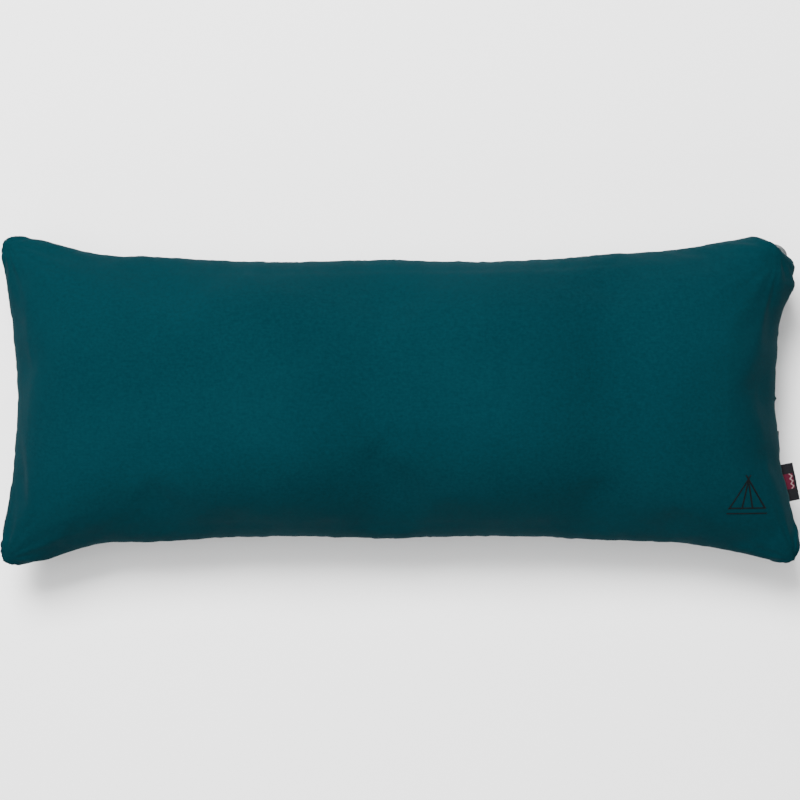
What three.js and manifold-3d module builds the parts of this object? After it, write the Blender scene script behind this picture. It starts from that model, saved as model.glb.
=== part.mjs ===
// An inflatable camp pillow: a two-panel fabric cover with a zip in one end, round a four-chamber air bladder
// with a two-stage valve at one corner. Millimetres, +Z up. The pillow lies on its back panel at z = 0, with its
// length along X and its width along Y, and the origin at the bottom centre.
import * as THREE from "three";
import { mergeVertices } from "three/addons/utils/BufferGeometryUtils.js";
import Module from "manifold-3d";

const wasm = await Module();
wasm.setup();

// ---- Driving dimensions -------------------------------------------------------------------------------------

// Whole pillow
const LENGTH = 510; // corner to corner along X
const WIDTH = 210.6; // corner to corner along Y
const FRONT_BULGE = 57; // height of the front panel's crown over the seam
const BACK_BULGE = 57; // the back panel's crown before the floor flattens it
const SEAM_HEIGHT = 51; // the perimeter seam over the floor
const SPINE_INSET = 105; // from each end to where the rounded end begins
const FOOT_HALF_LENGTH = 75; // the two middle chambers carry the pillow over this much of its length
const END_LIFT = 0.8; // how far the end chambers clear the floor

// How far air pressure draws each edge in at its middle, and how sharply the edge flares back to its corners
const TOP_DRAW = 22;
const BOTTOM_DRAW = 24;
const LEFT_DRAW = 15.3;
const RIGHT_DRAW = 21.8;
const TOP_LEFT_FLARE = 4.8;
const TOP_RIGHT_FLARE = 2.8;
const BOTTOM_FLARE = 4.5;
const LEFT_FLARE = 1.8;
const RIGHT_TOP_FLARE = 1.6;
const RIGHT_BOTTOM_FLARE = 1.3;

// Square corners before rounding stand this far out of the finished ones
const CORNER_BEYOND_X = 4;
const CORNER_BEYOND_Y = 5.2;

// Corner radii, and the slanting corner where the valve sits
const TOP_LEFT_RADIUS = 25;
const BOTTOM_LEFT_RADIUS = 21;
const BOTTOM_RIGHT_RADIUS = 24;
const SLANT_RADIUS = 2;
const SLANT_END_RADIUS = 16;
const SLANT_ALONG_X = 33.4;
const SLANT_ALONG_Y = 23;
const CORNER_FLATNESS = 0.5; // how much thinner the corners are than the edges

// Air chambers
const CHAMBER_PITCH = 137;
const CHAMBER_SHIFT = -10; // the middle web's distance from the centre
const WEB_SHEET = 0.5;
const WEB_EASE = 1.4; // between a web and the skins
const WEB_END_GAP = 36; // air passage left at each end of a web
const VALLEY_HALF_WIDTH = 34;
const COVER_VALLEY = 3.2; // how far the cover dips over a web
const BLADDER_VALLEY = 9;

// Cloth
const COVER_CLOTH = 0.9;
const BLADDER_CLOTH = 0.5;
const LAYER_GAP = 0.5; // between the cover and the bladder
const SEAM_GAP = 0.3; // between the two sides of a seam
const SEAM_ALLOWANCE = 5; // cloth turned inside the cover along its seam
const WELD_WIDTH = 5; // flat weld round the bladder
const CLEARANCE = 0.3;

// Zip in the right-hand end
const ZIP_BOTTOM = -32;
const ZIP_TOP = 42;
const ZIP_WINDOW = 10; // height of the gap between the two panels at the zip
const ZIP_RECESS = 1; // how far the coil lies behind the panels' edge
const COIL_PITCH = 3.4;
const COIL_WIDTH = 1.5;
const COIL_THICKNESS = 1.5;
const COIL_SLOT = 1; // between the two coils
const TAPE_THICKNESS = 0.6;
const TAPE_WIDTH = 9.6;
const STOP_LENGTH = 2.4;
const CLOSED_GAP = 4; // between the slider and the bottom stop when the zip is closed
const SLIDER_LENGTH = 7;
const SLIDER_WIDTH = 6.6;
const SLIDER_PLATE = 1;
const SLIDER_POST = 0.5;
const PULL_LENGTH = 10;
const PULL_WIDTH = 5.4;
const PULL_THICKNESS = 1.1;
const BRIDGE_LENGTH = 4.8;
const BRIDGE_WIDTH = 2.2;
const BRIDGE_BAR = 0.8;

// Folded label in the right-hand seam
const LABEL_LENGTH = 24;
const LABEL_DEPTH = 9.3;
const LABEL_THICKNESS = 0.9;
const LABEL_MIDDLE = -52.6; // along the end seam
const LABEL_REACH = 6; // how far it stands out of the seam
const LABEL_TILT = 11.5; // degrees

// Valve, about its own axis
const VALVE_SWING = 49; // degrees from +X, seen from above
const VALVE_TILT = 30; // degrees below the horizontal
const VALVE_X_INSET = 17.7; // the flange's centre from the right end
const VALVE_Y_INSET = 17.8; // and from the top edge
const VALVE_DROP = 14.2; // and below the seam
const FLANGE_RADIUS = 15;
const FLANGE_THICKNESS = 1.2;
const SOCKET_RADIUS = 10.2;
const SOCKET_HEIGHT = 5.5;
const SOCKET_BORE = 8.8; // at its mouth
const SOCKET_TAPER = 1;
const PLUG_CLEARANCE = 0.45;
const PLUG_TAPER = 1.2;
const PLUG_RIM = 1.5;
const PLUG_DEPTH = 6.3;
const MOUTH_BORE = 4;
const MOUTH_RADIUS = 6;
const MOUTH_HEIGHT = 2.8;
const CAP_RADIUS = 7;
const CAP_THICKNESS = 2.5;
const CAP_STUB_DEPTH = 1.6;
const CAP_STUB_CLEARANCE = 0.4;
const FLAP_RADIUS = 5.2;
const FLAP_THICKNESS = 0.8;
const HINGE_WIDTH = 5;
const HINGE_THICKNESS = 1.2;
const HINGE_GAP = 1.6; // from a moulding's rim to its hinge line
const HINGE_LIP = 0.25; // past the hinge line
const OPENING_MARGIN = 4.2; // the cover's opening outside the valve socket
const BINDING_WIDTH = 2.2;
const BINDING_THICKNESS = 1.4;

// ---- Derived sizes ------------------------------------------------------------------------------------------

const HALF_LENGTH = LENGTH / 2;
const HALF_WIDTH = WIDTH / 2;
const SPINE = HALF_LENGTH - SPINE_INSET;
const WEBS = [-1, 0, 1].map((n) => CHAMBER_SHIFT + n * CHAMBER_PITCH);
const ZIP_DEPTH = ZIP_RECESS + COIL_THICKNESS + TAPE_THICKNESS + SLIDER_PLATE + 3 * CLEARANCE;
const BLADDER_INSET = ZIP_DEPTH + WELD_WIDTH + 1;
const BLADDER_DROP = COVER_CLOTH + LAYER_GAP;
const BLADDER_FLOOR = 3; // the bladder's underside over the floor
const SMALL = 1e-6;

// ---- Colours ------------------------------------------------------------------------------------------------

const paint = (color, roughness, metalness = 0) =>
  new THREE.MeshStandardMaterial({ color, roughness, metalness });
const TEAL_CLOTH = paint(0x0a4a57, 0.9);
const BLADDER_FILM = paint(0x30363b, 0.6);
const BLACK_WEAVE = paint(0x141416, 0.85);
const DARK_NYLON = paint(0x16343a, 0.6);
const DARK_METAL = paint(0x2b3436, 0.4, 0.8);
const GREY_PLASTIC = paint(0x83878a, 0.45);
const GREY_SILICONE = paint(0x9aa0a2, 0.5);

// ---- Solids -------------------------------------------------------------------------------------------------

// A closed three.js geometry as a manifold-3d solid, and back.
function solidFrom(geometry) {
  const bare = geometry.clone();
  bare.deleteAttribute("normal");
  bare.deleteAttribute("uv");
  const merged = mergeVertices(bare, 1e-4);
  return new wasm.Manifold(
    new wasm.Mesh({
      numProp: 3,
      vertProperties: merged.attributes.position.array,
      triVerts: new Uint32Array(merged.index.array),
    }),
  );
}

function geometryFrom(solid) {
  const mesh = solid.getMesh();
  const position = new THREE.BufferAttribute(mesh.vertProperties, 3);
  return new THREE.BufferGeometry()
    .setAttribute("position", position)
    .setIndex(new THREE.BufferAttribute(mesh.triVerts, 1));
}

function meshOf(name, shape, material) {
  const geometry = shape.isBufferGeometry ? shape : geometryFrom(shape);
  const mesh = new THREE.Mesh(geometry, material);
  mesh.name = name;
  return mesh;
}

// A box between two corners.
function block(low, high) {
  const size = high.map((v, i) => v - low[i]);
  const centre = high.map((v, i) => (v + low[i]) / 2);
  return solidFrom(new THREE.BoxGeometry(...size).translate(...centre));
}

// A turned solid about +Z from [radius, z] pairs that close on themselves or start and end on the axis.
function turned(profile, segments = 32) {
  const points = profile.map(([r, z]) => new THREE.Vector2(r, z));
  return solidFrom(new THREE.LatheGeometry(points, segments).rotateX(Math.PI / 2));
}

// A round bar about +Z between two heights.
function roundBar(radius, low, high, segments = 32) {
  return turned([[0, low], [radius, low], [radius, high], [0, high]], segments);
}

// ---- The pillow's outline -----------------------------------------------------------------------------------

// The corners before air draws the edges in: [x, y, radius], anticlockwise round one end.
const END_X = HALF_LENGTH + CORNER_BEYOND_X;
const EDGE_Y = HALF_WIDTH + CORNER_BEYOND_Y;
const RIGHT_CORNERS = [
  [END_X, -EDGE_Y, BOTTOM_RIGHT_RADIUS],
  [END_X, EDGE_Y - SLANT_ALONG_Y, SLANT_END_RADIUS],
  [END_X - SLANT_ALONG_X, EDGE_Y, SLANT_RADIUS],
];
const LEFT_CORNERS = [
  [-END_X, EDGE_Y, TOP_LEFT_RADIUS],
  [-END_X, -EDGE_Y, BOTTOM_LEFT_RADIUS],
];

// Points along the two long edges, the straight part of the end, and a corner's arc.
const SPINE_STEPS = 14;
const SHOULDER_STEPS = 4;
const END_STEPS = 8;
const ARC_STEPS = 3;

// One end of the outline as points, from start to finish past its rounded corners.
function endOutline(start, corners, finish) {
  const stops = [start, ...corners.map(([x, y]) => [x, y]), finish].map(([x, y]) => new THREE.Vector2(x, y));
  const points = [];
  let from = stops[0];
  corners.forEach(([, , radius], n) => {
    const corner = stops[n + 1];
    const back = stops[n].clone().sub(corner).normalize();
    const ahead = stops[n + 2].clone().sub(corner).normalize();
    const half = Math.acos(THREE.MathUtils.clamp(back.dot(ahead), -1, 1)) / 2;
    const reach = radius / Math.tan(half);
    const entry = corner.clone().addScaledVector(back, reach);
    const exit = corner.clone().addScaledVector(ahead, reach);
    const steps = n === 0 ? SHOULDER_STEPS : Math.max(2, Math.round((END_STEPS * from.distanceTo(entry)) / WIDTH));
    for (let i = 0; i < steps; i += 1) points.push(from.clone().lerp(entry, i / steps));
    const arc = new THREE.QuadraticBezierCurve(entry, corner, exit);
    points.push(...arc.getPoints(ARC_STEPS).slice(0, -1));
    from = exit;
  });
  for (let i = 0; i < SHOULDER_STEPS; i += 1) points.push(from.clone().lerp(stops.at(-1), i / SHOULDER_STEPS));
  return points;
}

// Air pressure draws the middle of every edge in and leaves the corners standing out.
function drawnIn({ x, y }) {
  const along = Math.min(1, Math.abs(x) / END_X);
  const across = Math.min(1, Math.abs(y) / EDGE_Y);
  const topFlare = x < 0 ? TOP_LEFT_FLARE : TOP_RIGHT_FLARE;
  const flareY = y > 0 ? topFlare : BOTTOM_FLARE;
  const drawY = y > 0 ? TOP_DRAW : BOTTOM_DRAW;
  const rightFlare = y > 0 ? RIGHT_TOP_FLARE : RIGHT_BOTTOM_FLARE;
  const flareX = x < 0 ? LEFT_FLARE : rightFlare;
  const drawX = x < 0 ? LEFT_DRAW : RIGHT_DRAW;
  return new THREE.Vector2(
    x * (1 - (drawX / END_X) * (1 - across ** flareX)),
    y * (1 - (drawY / EDGE_Y) * (1 - along ** flareY)),
  );
}

// Every outline point with the spine point that it faces: { edge, spine, index of the spine point }.
function outlineSamples() {
  const spineX = (i) => -SPINE + (2 * SPINE * i) / SPINE_STEPS;
  const samples = [];
  const add = (point, index) =>
    samples.push({ edge: drawnIn(point), spine: new THREE.Vector2(spineX(index), 0), index });
  for (let i = 0; i < SPINE_STEPS; i += 1) add({ x: spineX(i), y: -EDGE_Y }, i);
  endOutline([SPINE, -EDGE_Y], RIGHT_CORNERS, [SPINE, EDGE_Y]).forEach((p) => add(p, SPINE_STEPS));
  for (let i = SPINE_STEPS; i > 0; i -= 1) add({ x: spineX(i), y: EDGE_Y }, i);
  endOutline([-SPINE, EDGE_Y], LEFT_CORNERS, [-SPINE, -EDGE_Y]).forEach((p) => add(p, 0));
  return samples;
}

// The drawn-in outline brought to the pillow's own length and width, centred on the origin.
const rawSamples = outlineSamples();
const outlineBox = new THREE.Box2().setFromPoints(rawSamples.map((s) => s.edge));
const outlineScale = new THREE.Vector2(LENGTH, WIDTH).divide(outlineBox.getSize(new THREE.Vector2()));
const outlineMiddle = outlineBox.getCenter(new THREE.Vector2());
const toSize = (point) => point.clone().sub(outlineMiddle).multiply(outlineScale);
const SAMPLES = rawSamples.map((s) => ({ ...s, edge: toSize(s.edge) }));

// The place on the right-hand end seam at a distance along it.
const endSeamAt = (y) => toSize(drawnIn({ x: END_X, y }));

// How near a direction from the spine's end points to a corner: 1 at the corner, 0 along an edge.
function cornerShare({ edge, spine }) {
  const out = edge.clone().sub(spine);
  if (Math.abs(edge.x) <= SPINE) return 0;
  const turn = Math.abs(Math.atan2(out.y, Math.abs(out.x)) / (Math.PI / 4));
  return Math.max(0, 1 - Math.abs(turn - 1) * 1.6);
}

// The valve's flange props its own corner open.
const isValveCorner = ({ edge }) => edge.x > SPINE && edge.y > 0;

// 1 over a web, falling to 0 in the middle of a chamber.
const valleyAt = (x) => Math.max(...WEBS.map((web) => Math.exp(-(((x - web) / VALLEY_HALF_WIDTH) ** 2))));

// A point of a cloth layer: inset from the outline, at a share of the way from the spine (0) to the edge (1).
// rise is the height over the seam at that layer's edge, and lower how far its crown lies inside the cover's.
function clothPoint(sample, share, { side, inset, rise, lower, valley, floor }) {
  const out = sample.edge.clone().sub(sample.spine);
  const reach = out.length() - inset;
  const place = sample.spine.clone().addScaledVector(out.normalize(), reach * share);
  const crown = (side > 0 ? FRONT_BULGE : BACK_BULGE) - lower - rise - valley * valleyAt(place.x);
  const flatness = isValveCorner(sample) ? 0 : CORNER_FLATNESS;
  const fullness = Math.sqrt(Math.max(0, 1 - share ** 2)) * (1 - flatness * cornerShare(sample) * share ** 3);
  const z = SEAM_HEIGHT + side * (rise + crown * fullness);
  const lift = Math.abs(place.x) > FOOT_HALF_LENGTH ? END_LIFT : 0;
  return [place.x, place.y, Math.max(z, floor + lift)];
}

// A closed cloth shell: its outer face from spine to edge, any lip along the seam, and its inner face back.
function clothShell(outer, lip, inner, rings) {
  const positions = [];
  const rows = [];
  const spineRow = (layer) => {
    const start = positions.length / 3;
    for (let i = 0; i <= SPINE_STEPS; i += 1) {
      const sample = SAMPLES.find((s) => s.index === i);
      positions.push(...clothPoint(sample, 0, layer));
    }
    return { start, spine: true };
  };
  const ringRow = (layer, share) => {
    const start = positions.length / 3;
    SAMPLES.forEach((sample) => positions.push(...clothPoint(sample, share, layer)));
    return { start, spine: false };
  };
  const shares = Array.from({ length: rings }, (_, k) => Math.sin(((k + 1) / rings) * (Math.PI / 2)));
  rows.push(spineRow(outer), ...shares.map((share) => ringRow(outer, share)));
  lip.forEach((layer) => rows.push(ringRow(layer, 1)));
  rows.push(...[...shares].reverse().map((share) => ringRow(inner, share)), spineRow(inner));
  const triangles = [];
  const vertex = (row, n) => row.start + (row.spine ? SAMPLES[n].index : n);
  const triangle = (a, b, c) => {
    if (a !== b && b !== c && c !== a) triangles.push(outer.side > 0 ? [a, b, c] : [a, c, b]);
  };
  for (let r = 0; r + 1 < rows.length; r += 1) {
    SAMPLES.forEach((_, n) => {
      const next = (n + 1) % SAMPLES.length;
      const [a, b] = [vertex(rows[r], n), vertex(rows[r], next)];
      const [c, d] = [vertex(rows[r + 1], next), vertex(rows[r + 1], n)];
      triangle(a, d, c);
      triangle(a, c, b);
    });
  }
  const geometry = new THREE.BufferGeometry();
  geometry.setAttribute("position", new THREE.Float32BufferAttribute(positions, 3));
  geometry.setIndex(triangles.flat());
  return solidFrom(geometry);
}

// ---- Cover --------------------------------------------------------------------------------------------------

const COVER_RINGS = 6;
const BLADDER_RINGS = 4;

// One cover panel, side 1 for the front and -1 for the back, with its seam allowance turned inside.
function coverPanel(side) {
  const layer = (inset, rise, lower, floor) => ({ side, inset, rise, lower, valley: COVER_VALLEY, floor });
  const seam = SEAM_GAP / 2;
  const outer = layer(0, seam, 0, 0);
  const lip = [layer(SEAM_ALLOWANCE, seam, 0, 0), layer(SEAM_ALLOWANCE, seam + COVER_CLOTH, 0, 0)];
  const inner = layer(COVER_CLOTH, seam + COVER_CLOTH, COVER_CLOTH, COVER_CLOTH);
  return clothShell(outer, lip, inner, COVER_RINGS);
}

// One bladder skin with its flat weld standing out round it.
function bladderSkin(side) {
  const floor = BLADDER_FLOOR;
  const layer = (inset, rise, lower, bottom) => ({
    side,
    inset,
    rise,
    lower: lower + BLADDER_DROP,
    valley: BLADDER_VALLEY,
    floor: bottom,
  });
  const weld = SEAM_GAP / 2;
  const outer = layer(BLADDER_INSET, weld + BLADDER_CLOTH, 0, floor);
  const tip = BLADDER_INSET - WELD_WIDTH;
  const lip = [layer(tip, weld + BLADDER_CLOTH, 0, floor), layer(tip, weld, 0, floor)];
  const inner = layer(BLADDER_INSET + BLADDER_CLOTH, weld, BLADDER_CLOTH, floor + BLADDER_CLOTH);
  return clothShell(outer, lip, inner, BLADDER_RINGS);
}

// ---- Webs between the chambers ------------------------------------------------------------------------------

// One web: an upright sheet that follows the inside of the bladder and stops short of both edges.
function web(x) {
  const halfSpan = HALF_WIDTH - (TOP_DRAW + BOTTOM_DRAW) / 2 - BLADDER_INSET;
  const halfWeb = halfSpan - WEB_END_GAP;
  const crown = (bulge) => bulge - BLADDER_DROP - BLADDER_CLOTH - BLADDER_VALLEY - WEB_EASE;
  const height = (y, bulge) => crown(bulge) * Math.sqrt(1 - (y / halfSpan) ** 2);
  const floor = BLADDER_FLOOR + BLADDER_CLOTH + WEB_EASE;
  const steps = 10;
  const across = Array.from({ length: steps + 1 }, (_, i) => -halfWeb + (2 * halfWeb * i) / steps);
  const top = across.map((y) => new THREE.Vector2(y, SEAM_HEIGHT + height(y, FRONT_BULGE)));
  const bottom = across.map((y) => new THREE.Vector2(y, Math.max(floor, SEAM_HEIGHT - height(y, BACK_BULGE))));
  const shape = new THREE.Shape([...top, ...bottom.reverse()]);
  const sheet = new THREE.ExtrudeGeometry(shape, { depth: WEB_SHEET, bevelEnabled: false });
  const turn = new THREE.Matrix4().makeBasis(
    new THREE.Vector3(0, 1, 0),
    new THREE.Vector3(0, 0, 1),
    new THREE.Vector3(1, 0, 0),
  );
  return sheet.applyMatrix4(turn).translate(x - WEB_SHEET / 2, 0, 0);
}

// ---- Zip ----------------------------------------------------------------------------------------------------

// The end seam is straight beside the zip, at the outline's own place half way along it.
const zipMiddle = (ZIP_BOTTOM + ZIP_TOP) / 2;
const ZIP_FACE = endSeamAt(zipMiddle).x;
const COIL_FRONT_X = ZIP_FACE - ZIP_RECESS;
const COIL_BACK_X = COIL_FRONT_X - COIL_THICKNESS;
const TAPE_FRONT_X = COIL_BACK_X - CLEARANCE;
const TAPE_BACK_X = TAPE_FRONT_X - TAPE_THICKNESS;
const PLATE_X = COIL_FRONT_X + CLEARANCE;
const PLATE_TOP_X = PLATE_X + SLIDER_PLATE;
const PULL_AXIS_X = PLATE_TOP_X + CLEARANCE + PULL_THICKNESS / 2;

// A strip of tape behind one coil, above the seam for side 1 and below it for side -1.
function zipTape(side) {
  const near = COIL_SLOT / 2;
  const low = Math.min(side * near, side * (near + TAPE_WIDTH)) + SEAM_HEIGHT;
  const high = Math.max(side * near, side * (near + TAPE_WIDTH)) + SEAM_HEIGHT;
  return block([TAPE_BACK_X, ZIP_BOTTOM - STOP_LENGTH, low], [TAPE_FRONT_X, ZIP_TOP + STOP_LENGTH, high]);
}

// One coil: a cord with a row of teeth along its front. The other side's teeth lie half a pitch on.
function zipCoil(side) {
  const near = COIL_SLOT / 2;
  const far = near + COIL_WIDTH;
  const span = (a, b) => [Math.min(side * a, side * b) + SEAM_HEIGHT, Math.max(side * a, side * b) + SEAM_HEIGHT];
  const [cordLow, cordHigh] = span(near + 0.4 * COIL_WIDTH, far);
  const [toothLow, toothHigh] = span(near, far);
  const shift = side > 0 ? 0 : COIL_PITCH / 2;
  const cord = block(
    [COIL_BACK_X, ZIP_BOTTOM, cordLow],
    [COIL_FRONT_X - 0.3 * COIL_THICKNESS, ZIP_TOP, cordHigh],
  );
  const teeth = [];
  for (let y = ZIP_BOTTOM + shift; y + COIL_PITCH * 0.6 < ZIP_TOP; y += COIL_PITCH) {
    const inset = 0.15 * COIL_THICKNESS;
    teeth.push(block([COIL_BACK_X + inset, y, toothLow], [COIL_FRONT_X, y + COIL_PITCH * 0.55, toothHigh]));
  }
  return wasm.Manifold.union([cord, ...teeth]);
}

// A crimped stop across both coils, beyond one end of the chain.
function zipStop(start) {
  const reach = COIL_SLOT / 2 + COIL_WIDTH;
  return block(
    [COIL_BACK_X, start, SEAM_HEIGHT - reach],
    [COIL_FRONT_X + 0.4 * COIL_THICKNESS, start + STOP_LENGTH - CLEARANCE, SEAM_HEIGHT + reach],
  );
}

const SLIDER_START = ZIP_BOTTOM + STOP_LENGTH + CLOSED_GAP; // the slider's lower end when the zip is closed
const SLIDER_MIDDLE = SLIDER_START + SLIDER_LENGTH / 2;

// The slider: an outer plate with its bridge, a thin post between the coils, and a plate behind the tapes.
function zipSlider() {
  const y0 = SLIDER_START;
  const y1 = SLIDER_START + SLIDER_LENGTH;
  const half = SLIDER_WIDTH / 2;
  const back = TAPE_BACK_X - CLEARANCE;
  const bridgeIn = PULL_AXIS_X + PULL_THICKNESS / 2 + CLEARANCE;
  const bridge = (from, to, low, high) =>
    block(
      [low, SLIDER_MIDDLE + from, SEAM_HEIGHT - BRIDGE_WIDTH / 2],
      [high, SLIDER_MIDDLE + to, SEAM_HEIGHT + BRIDGE_WIDTH / 2],
    );
  const reach = BRIDGE_LENGTH / 2;
  return wasm.Manifold.union([
    block([PLATE_X, y0, SEAM_HEIGHT - half], [PLATE_TOP_X, y1, SEAM_HEIGHT + half]),
    block([back - SLIDER_PLATE, y0, SEAM_HEIGHT - half], [back, y1, SEAM_HEIGHT + half]),
    block(
      [back - SLIDER_PLATE / 2, y0 + 1, SEAM_HEIGHT - SLIDER_POST / 2],
      [PLATE_X + SLIDER_PLATE / 2, y0 + 2.5, SEAM_HEIGHT + SLIDER_POST / 2],
    ),
    bridge(-reach, -reach + BRIDGE_BAR, PLATE_TOP_X - SLIDER_PLATE / 2, bridgeIn + BRIDGE_BAR),
    bridge(reach - BRIDGE_BAR, reach, PLATE_TOP_X - SLIDER_PLATE / 2, bridgeIn + BRIDGE_BAR),
    bridge(-reach, reach, bridgeIn, bridgeIn + BRIDGE_BAR),
  ]);
}

// The pull: a flat tab whose end bar passes under the bridge. It lies along -Y.
function zipPull() {
  const half = PULL_WIDTH / 2;
  const eye = BRIDGE_WIDTH / 2 + CLEARANCE;
  const bar = PULL_THICKNESS / 2;
  const end = PULL_LENGTH - bar;
  const outline = new THREE.Shape();
  outline.moveTo(bar, -half);
  outline.lineTo(bar, half);
  outline.lineTo(-end + half, half);
  outline.absarc(-end + half, 0, half, Math.PI / 2, (3 * Math.PI) / 2, false);
  outline.lineTo(bar, -half);
  const hole = new THREE.Path();
  const holeEnd = -(BRIDGE_LENGTH / 2 + BRIDGE_BAR + CLEARANCE);
  hole.moveTo(-bar, -eye);
  hole.lineTo(holeEnd, -eye);
  hole.lineTo(holeEnd, eye);
  hole.lineTo(-bar, eye);
  hole.lineTo(-bar, -eye);
  outline.holes.push(hole);
  const tab = new THREE.ExtrudeGeometry(outline, { depth: PULL_THICKNESS, bevelEnabled: false, curveSegments: 10 });
  const turn = new THREE.Matrix4().makeBasis(
    new THREE.Vector3(0, 1, 0),
    new THREE.Vector3(0, 0, 1),
    new THREE.Vector3(1, 0, 0),
  );
  tab.translate(0, 0, -PULL_THICKNESS / 2).applyMatrix4(turn);
  return tab.translate(PULL_AXIS_X, SLIDER_MIDDLE, SEAM_HEIGHT);
}

// The room that the zip takes inside the cover, which the bladder's weld is trimmed to.
function zipRoom() {
  return block(
    [ZIP_FACE - ZIP_DEPTH, ZIP_BOTTOM - STOP_LENGTH - 1, SEAM_HEIGHT - ZIP_WINDOW / 2],
    [HALF_LENGTH, ZIP_TOP + STOP_LENGTH + 1, SEAM_HEIGHT + ZIP_WINDOW / 2],
  );
}

// The gap in both panels that the zip fills.
function zipWindow() {
  return block(
    [ZIP_FACE - SEAM_ALLOWANCE - TAPE_WIDTH, ZIP_BOTTOM - STOP_LENGTH, SEAM_HEIGHT - ZIP_WINDOW / 2],
    [HALF_LENGTH, ZIP_TOP + STOP_LENGTH, SEAM_HEIGHT + ZIP_WINDOW / 2],
  );
}

// ---- Label --------------------------------------------------------------------------------------------------

// A label plate in its own frame: the fold along +X, the root behind it. grow widens it on every side.
function labelPlate(grow) {
  const depth = LABEL_DEPTH + grow;
  return block(
    [LABEL_REACH - depth, -LABEL_LENGTH / 2 - grow, -LABEL_THICKNESS / 2 - grow],
    [LABEL_REACH + grow, LABEL_LENGTH / 2 + grow, LABEL_THICKNESS / 2 + grow],
  );
}

const labelSeam = endSeamAt(LABEL_MIDDLE);
const inLabelPlace = (solid) => solid.rotate([0, 0, LABEL_TILT]).translate([labelSeam.x, labelSeam.y, SEAM_HEIGHT]);

// ---- Valve --------------------------------------------------------------------------------------------------

// The valve's own frame: its axis points out and down from the corner, and its Y points up and out.
function valvePlace() {
  const swing = THREE.MathUtils.degToRad(VALVE_SWING);
  const tilt = THREE.MathUtils.degToRad(VALVE_TILT);
  const flat = new THREE.Vector3(Math.cos(swing), Math.sin(swing), 0);
  const axis = flat.clone().multiplyScalar(Math.cos(tilt)).setZ(-Math.sin(tilt));
  const side = new THREE.Vector3(-flat.y, flat.x, 0);
  const up = new THREE.Vector3().crossVectors(axis, side);
  const place = new THREE.Matrix4().makeBasis(side, up, axis);
  return place.setPosition(HALF_LENGTH - VALVE_X_INSET, HALF_WIDTH - VALVE_Y_INSET, SEAM_HEIGHT - VALVE_DROP);
}

const VALVE_PLACE = valvePlace();
const inValvePlace = (solid) => solid.transform(VALVE_PLACE.elements);

const PLUG_SEAT = SOCKET_HEIGHT + CLEARANCE; // underside of the plug's rim
const PLUG_TOP = PLUG_SEAT + PLUG_RIM;
const MOUTH_TOP = PLUG_TOP + MOUTH_HEIGHT;
const CAP_SEAT = MOUTH_TOP + CLEARANCE;
const PLUG_HINGE_Y = -(SOCKET_RADIUS + HINGE_GAP);
const CAP_HINGE_Y = -(CAP_RADIUS + HINGE_GAP);
const PLUG_FOOT = PLUG_SEAT - PLUG_DEPTH;
const FLAP_TOP = PLUG_FOOT - CLEARANCE;

// The base: a flange welded to the back skin, and a tapered socket with half of the plug's hinge.
function valveBase() {
  const body = turned([
    [SOCKET_BORE - SOCKET_TAPER, -FLANGE_THICKNESS],
    [FLANGE_RADIUS, -FLANGE_THICKNESS],
    [FLANGE_RADIUS, 0],
    [SOCKET_RADIUS, 0],
    [SOCKET_RADIUS, SOCKET_HEIGHT],
    [SOCKET_BORE, SOCKET_HEIGHT],
    [SOCKET_BORE - SOCKET_TAPER, -FLANGE_THICKNESS],
  ], 40);
  const lug = block(
    [-HINGE_WIDTH / 2, PLUG_HINGE_Y - HINGE_LIP, PLUG_SEAT - 2 * HINGE_THICKNESS - CLEARANCE],
    [HINGE_WIDTH / 2, -SOCKET_RADIUS + 0.5, PLUG_SEAT - HINGE_THICKNESS / 2 - CLEARANCE],
  );
  return body.add(lug);
}

// The plug: a tapered stopper with the mouth bore through it. It pulls out for fast deflation.
function valvePlug() {
  const top = SOCKET_BORE - PLUG_CLEARANCE;
  const body = turned([
    [MOUTH_BORE, PLUG_FOOT],
    [top - PLUG_TAPER, PLUG_FOOT],
    [top, PLUG_SEAT],
    [SOCKET_RADIUS, PLUG_SEAT],
    [SOCKET_RADIUS, PLUG_TOP],
    [MOUTH_RADIUS, PLUG_TOP],
    [MOUTH_RADIUS, MOUTH_TOP],
    [MOUTH_BORE, MOUTH_TOP],
    [MOUTH_BORE, PLUG_FOOT],
  ], 40);
  const strap = block(
    [-HINGE_WIDTH / 2, PLUG_HINGE_Y - HINGE_LIP, PLUG_SEAT],
    [HINGE_WIDTH / 2, -SOCKET_RADIUS + 0.5, PLUG_SEAT + HINGE_THICKNESS],
  );
  const lug = block(
    [-HINGE_WIDTH / 2, CAP_HINGE_Y - HINGE_LIP, PLUG_TOP - 0.5],
    [HINGE_WIDTH / 2, -MOUTH_RADIUS + 0.4, MOUTH_TOP - HINGE_THICKNESS / 2],
  );
  return wasm.Manifold.union([body, strap, lug]);
}

// The one-way flap under the mouth bore.
function valveFlap() {
  const disc = roundBar(FLAP_RADIUS, FLAP_TOP - FLAP_THICKNESS, FLAP_TOP, 28);
  const root = block(
    [FLAP_RADIUS - 1.5, -HINGE_WIDTH / 3, FLAP_TOP - FLAP_THICKNESS],
    [FLAP_RADIUS + 0.8, HINGE_WIDTH / 3, FLAP_TOP],
  );
  return disc.add(root);
}

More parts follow.
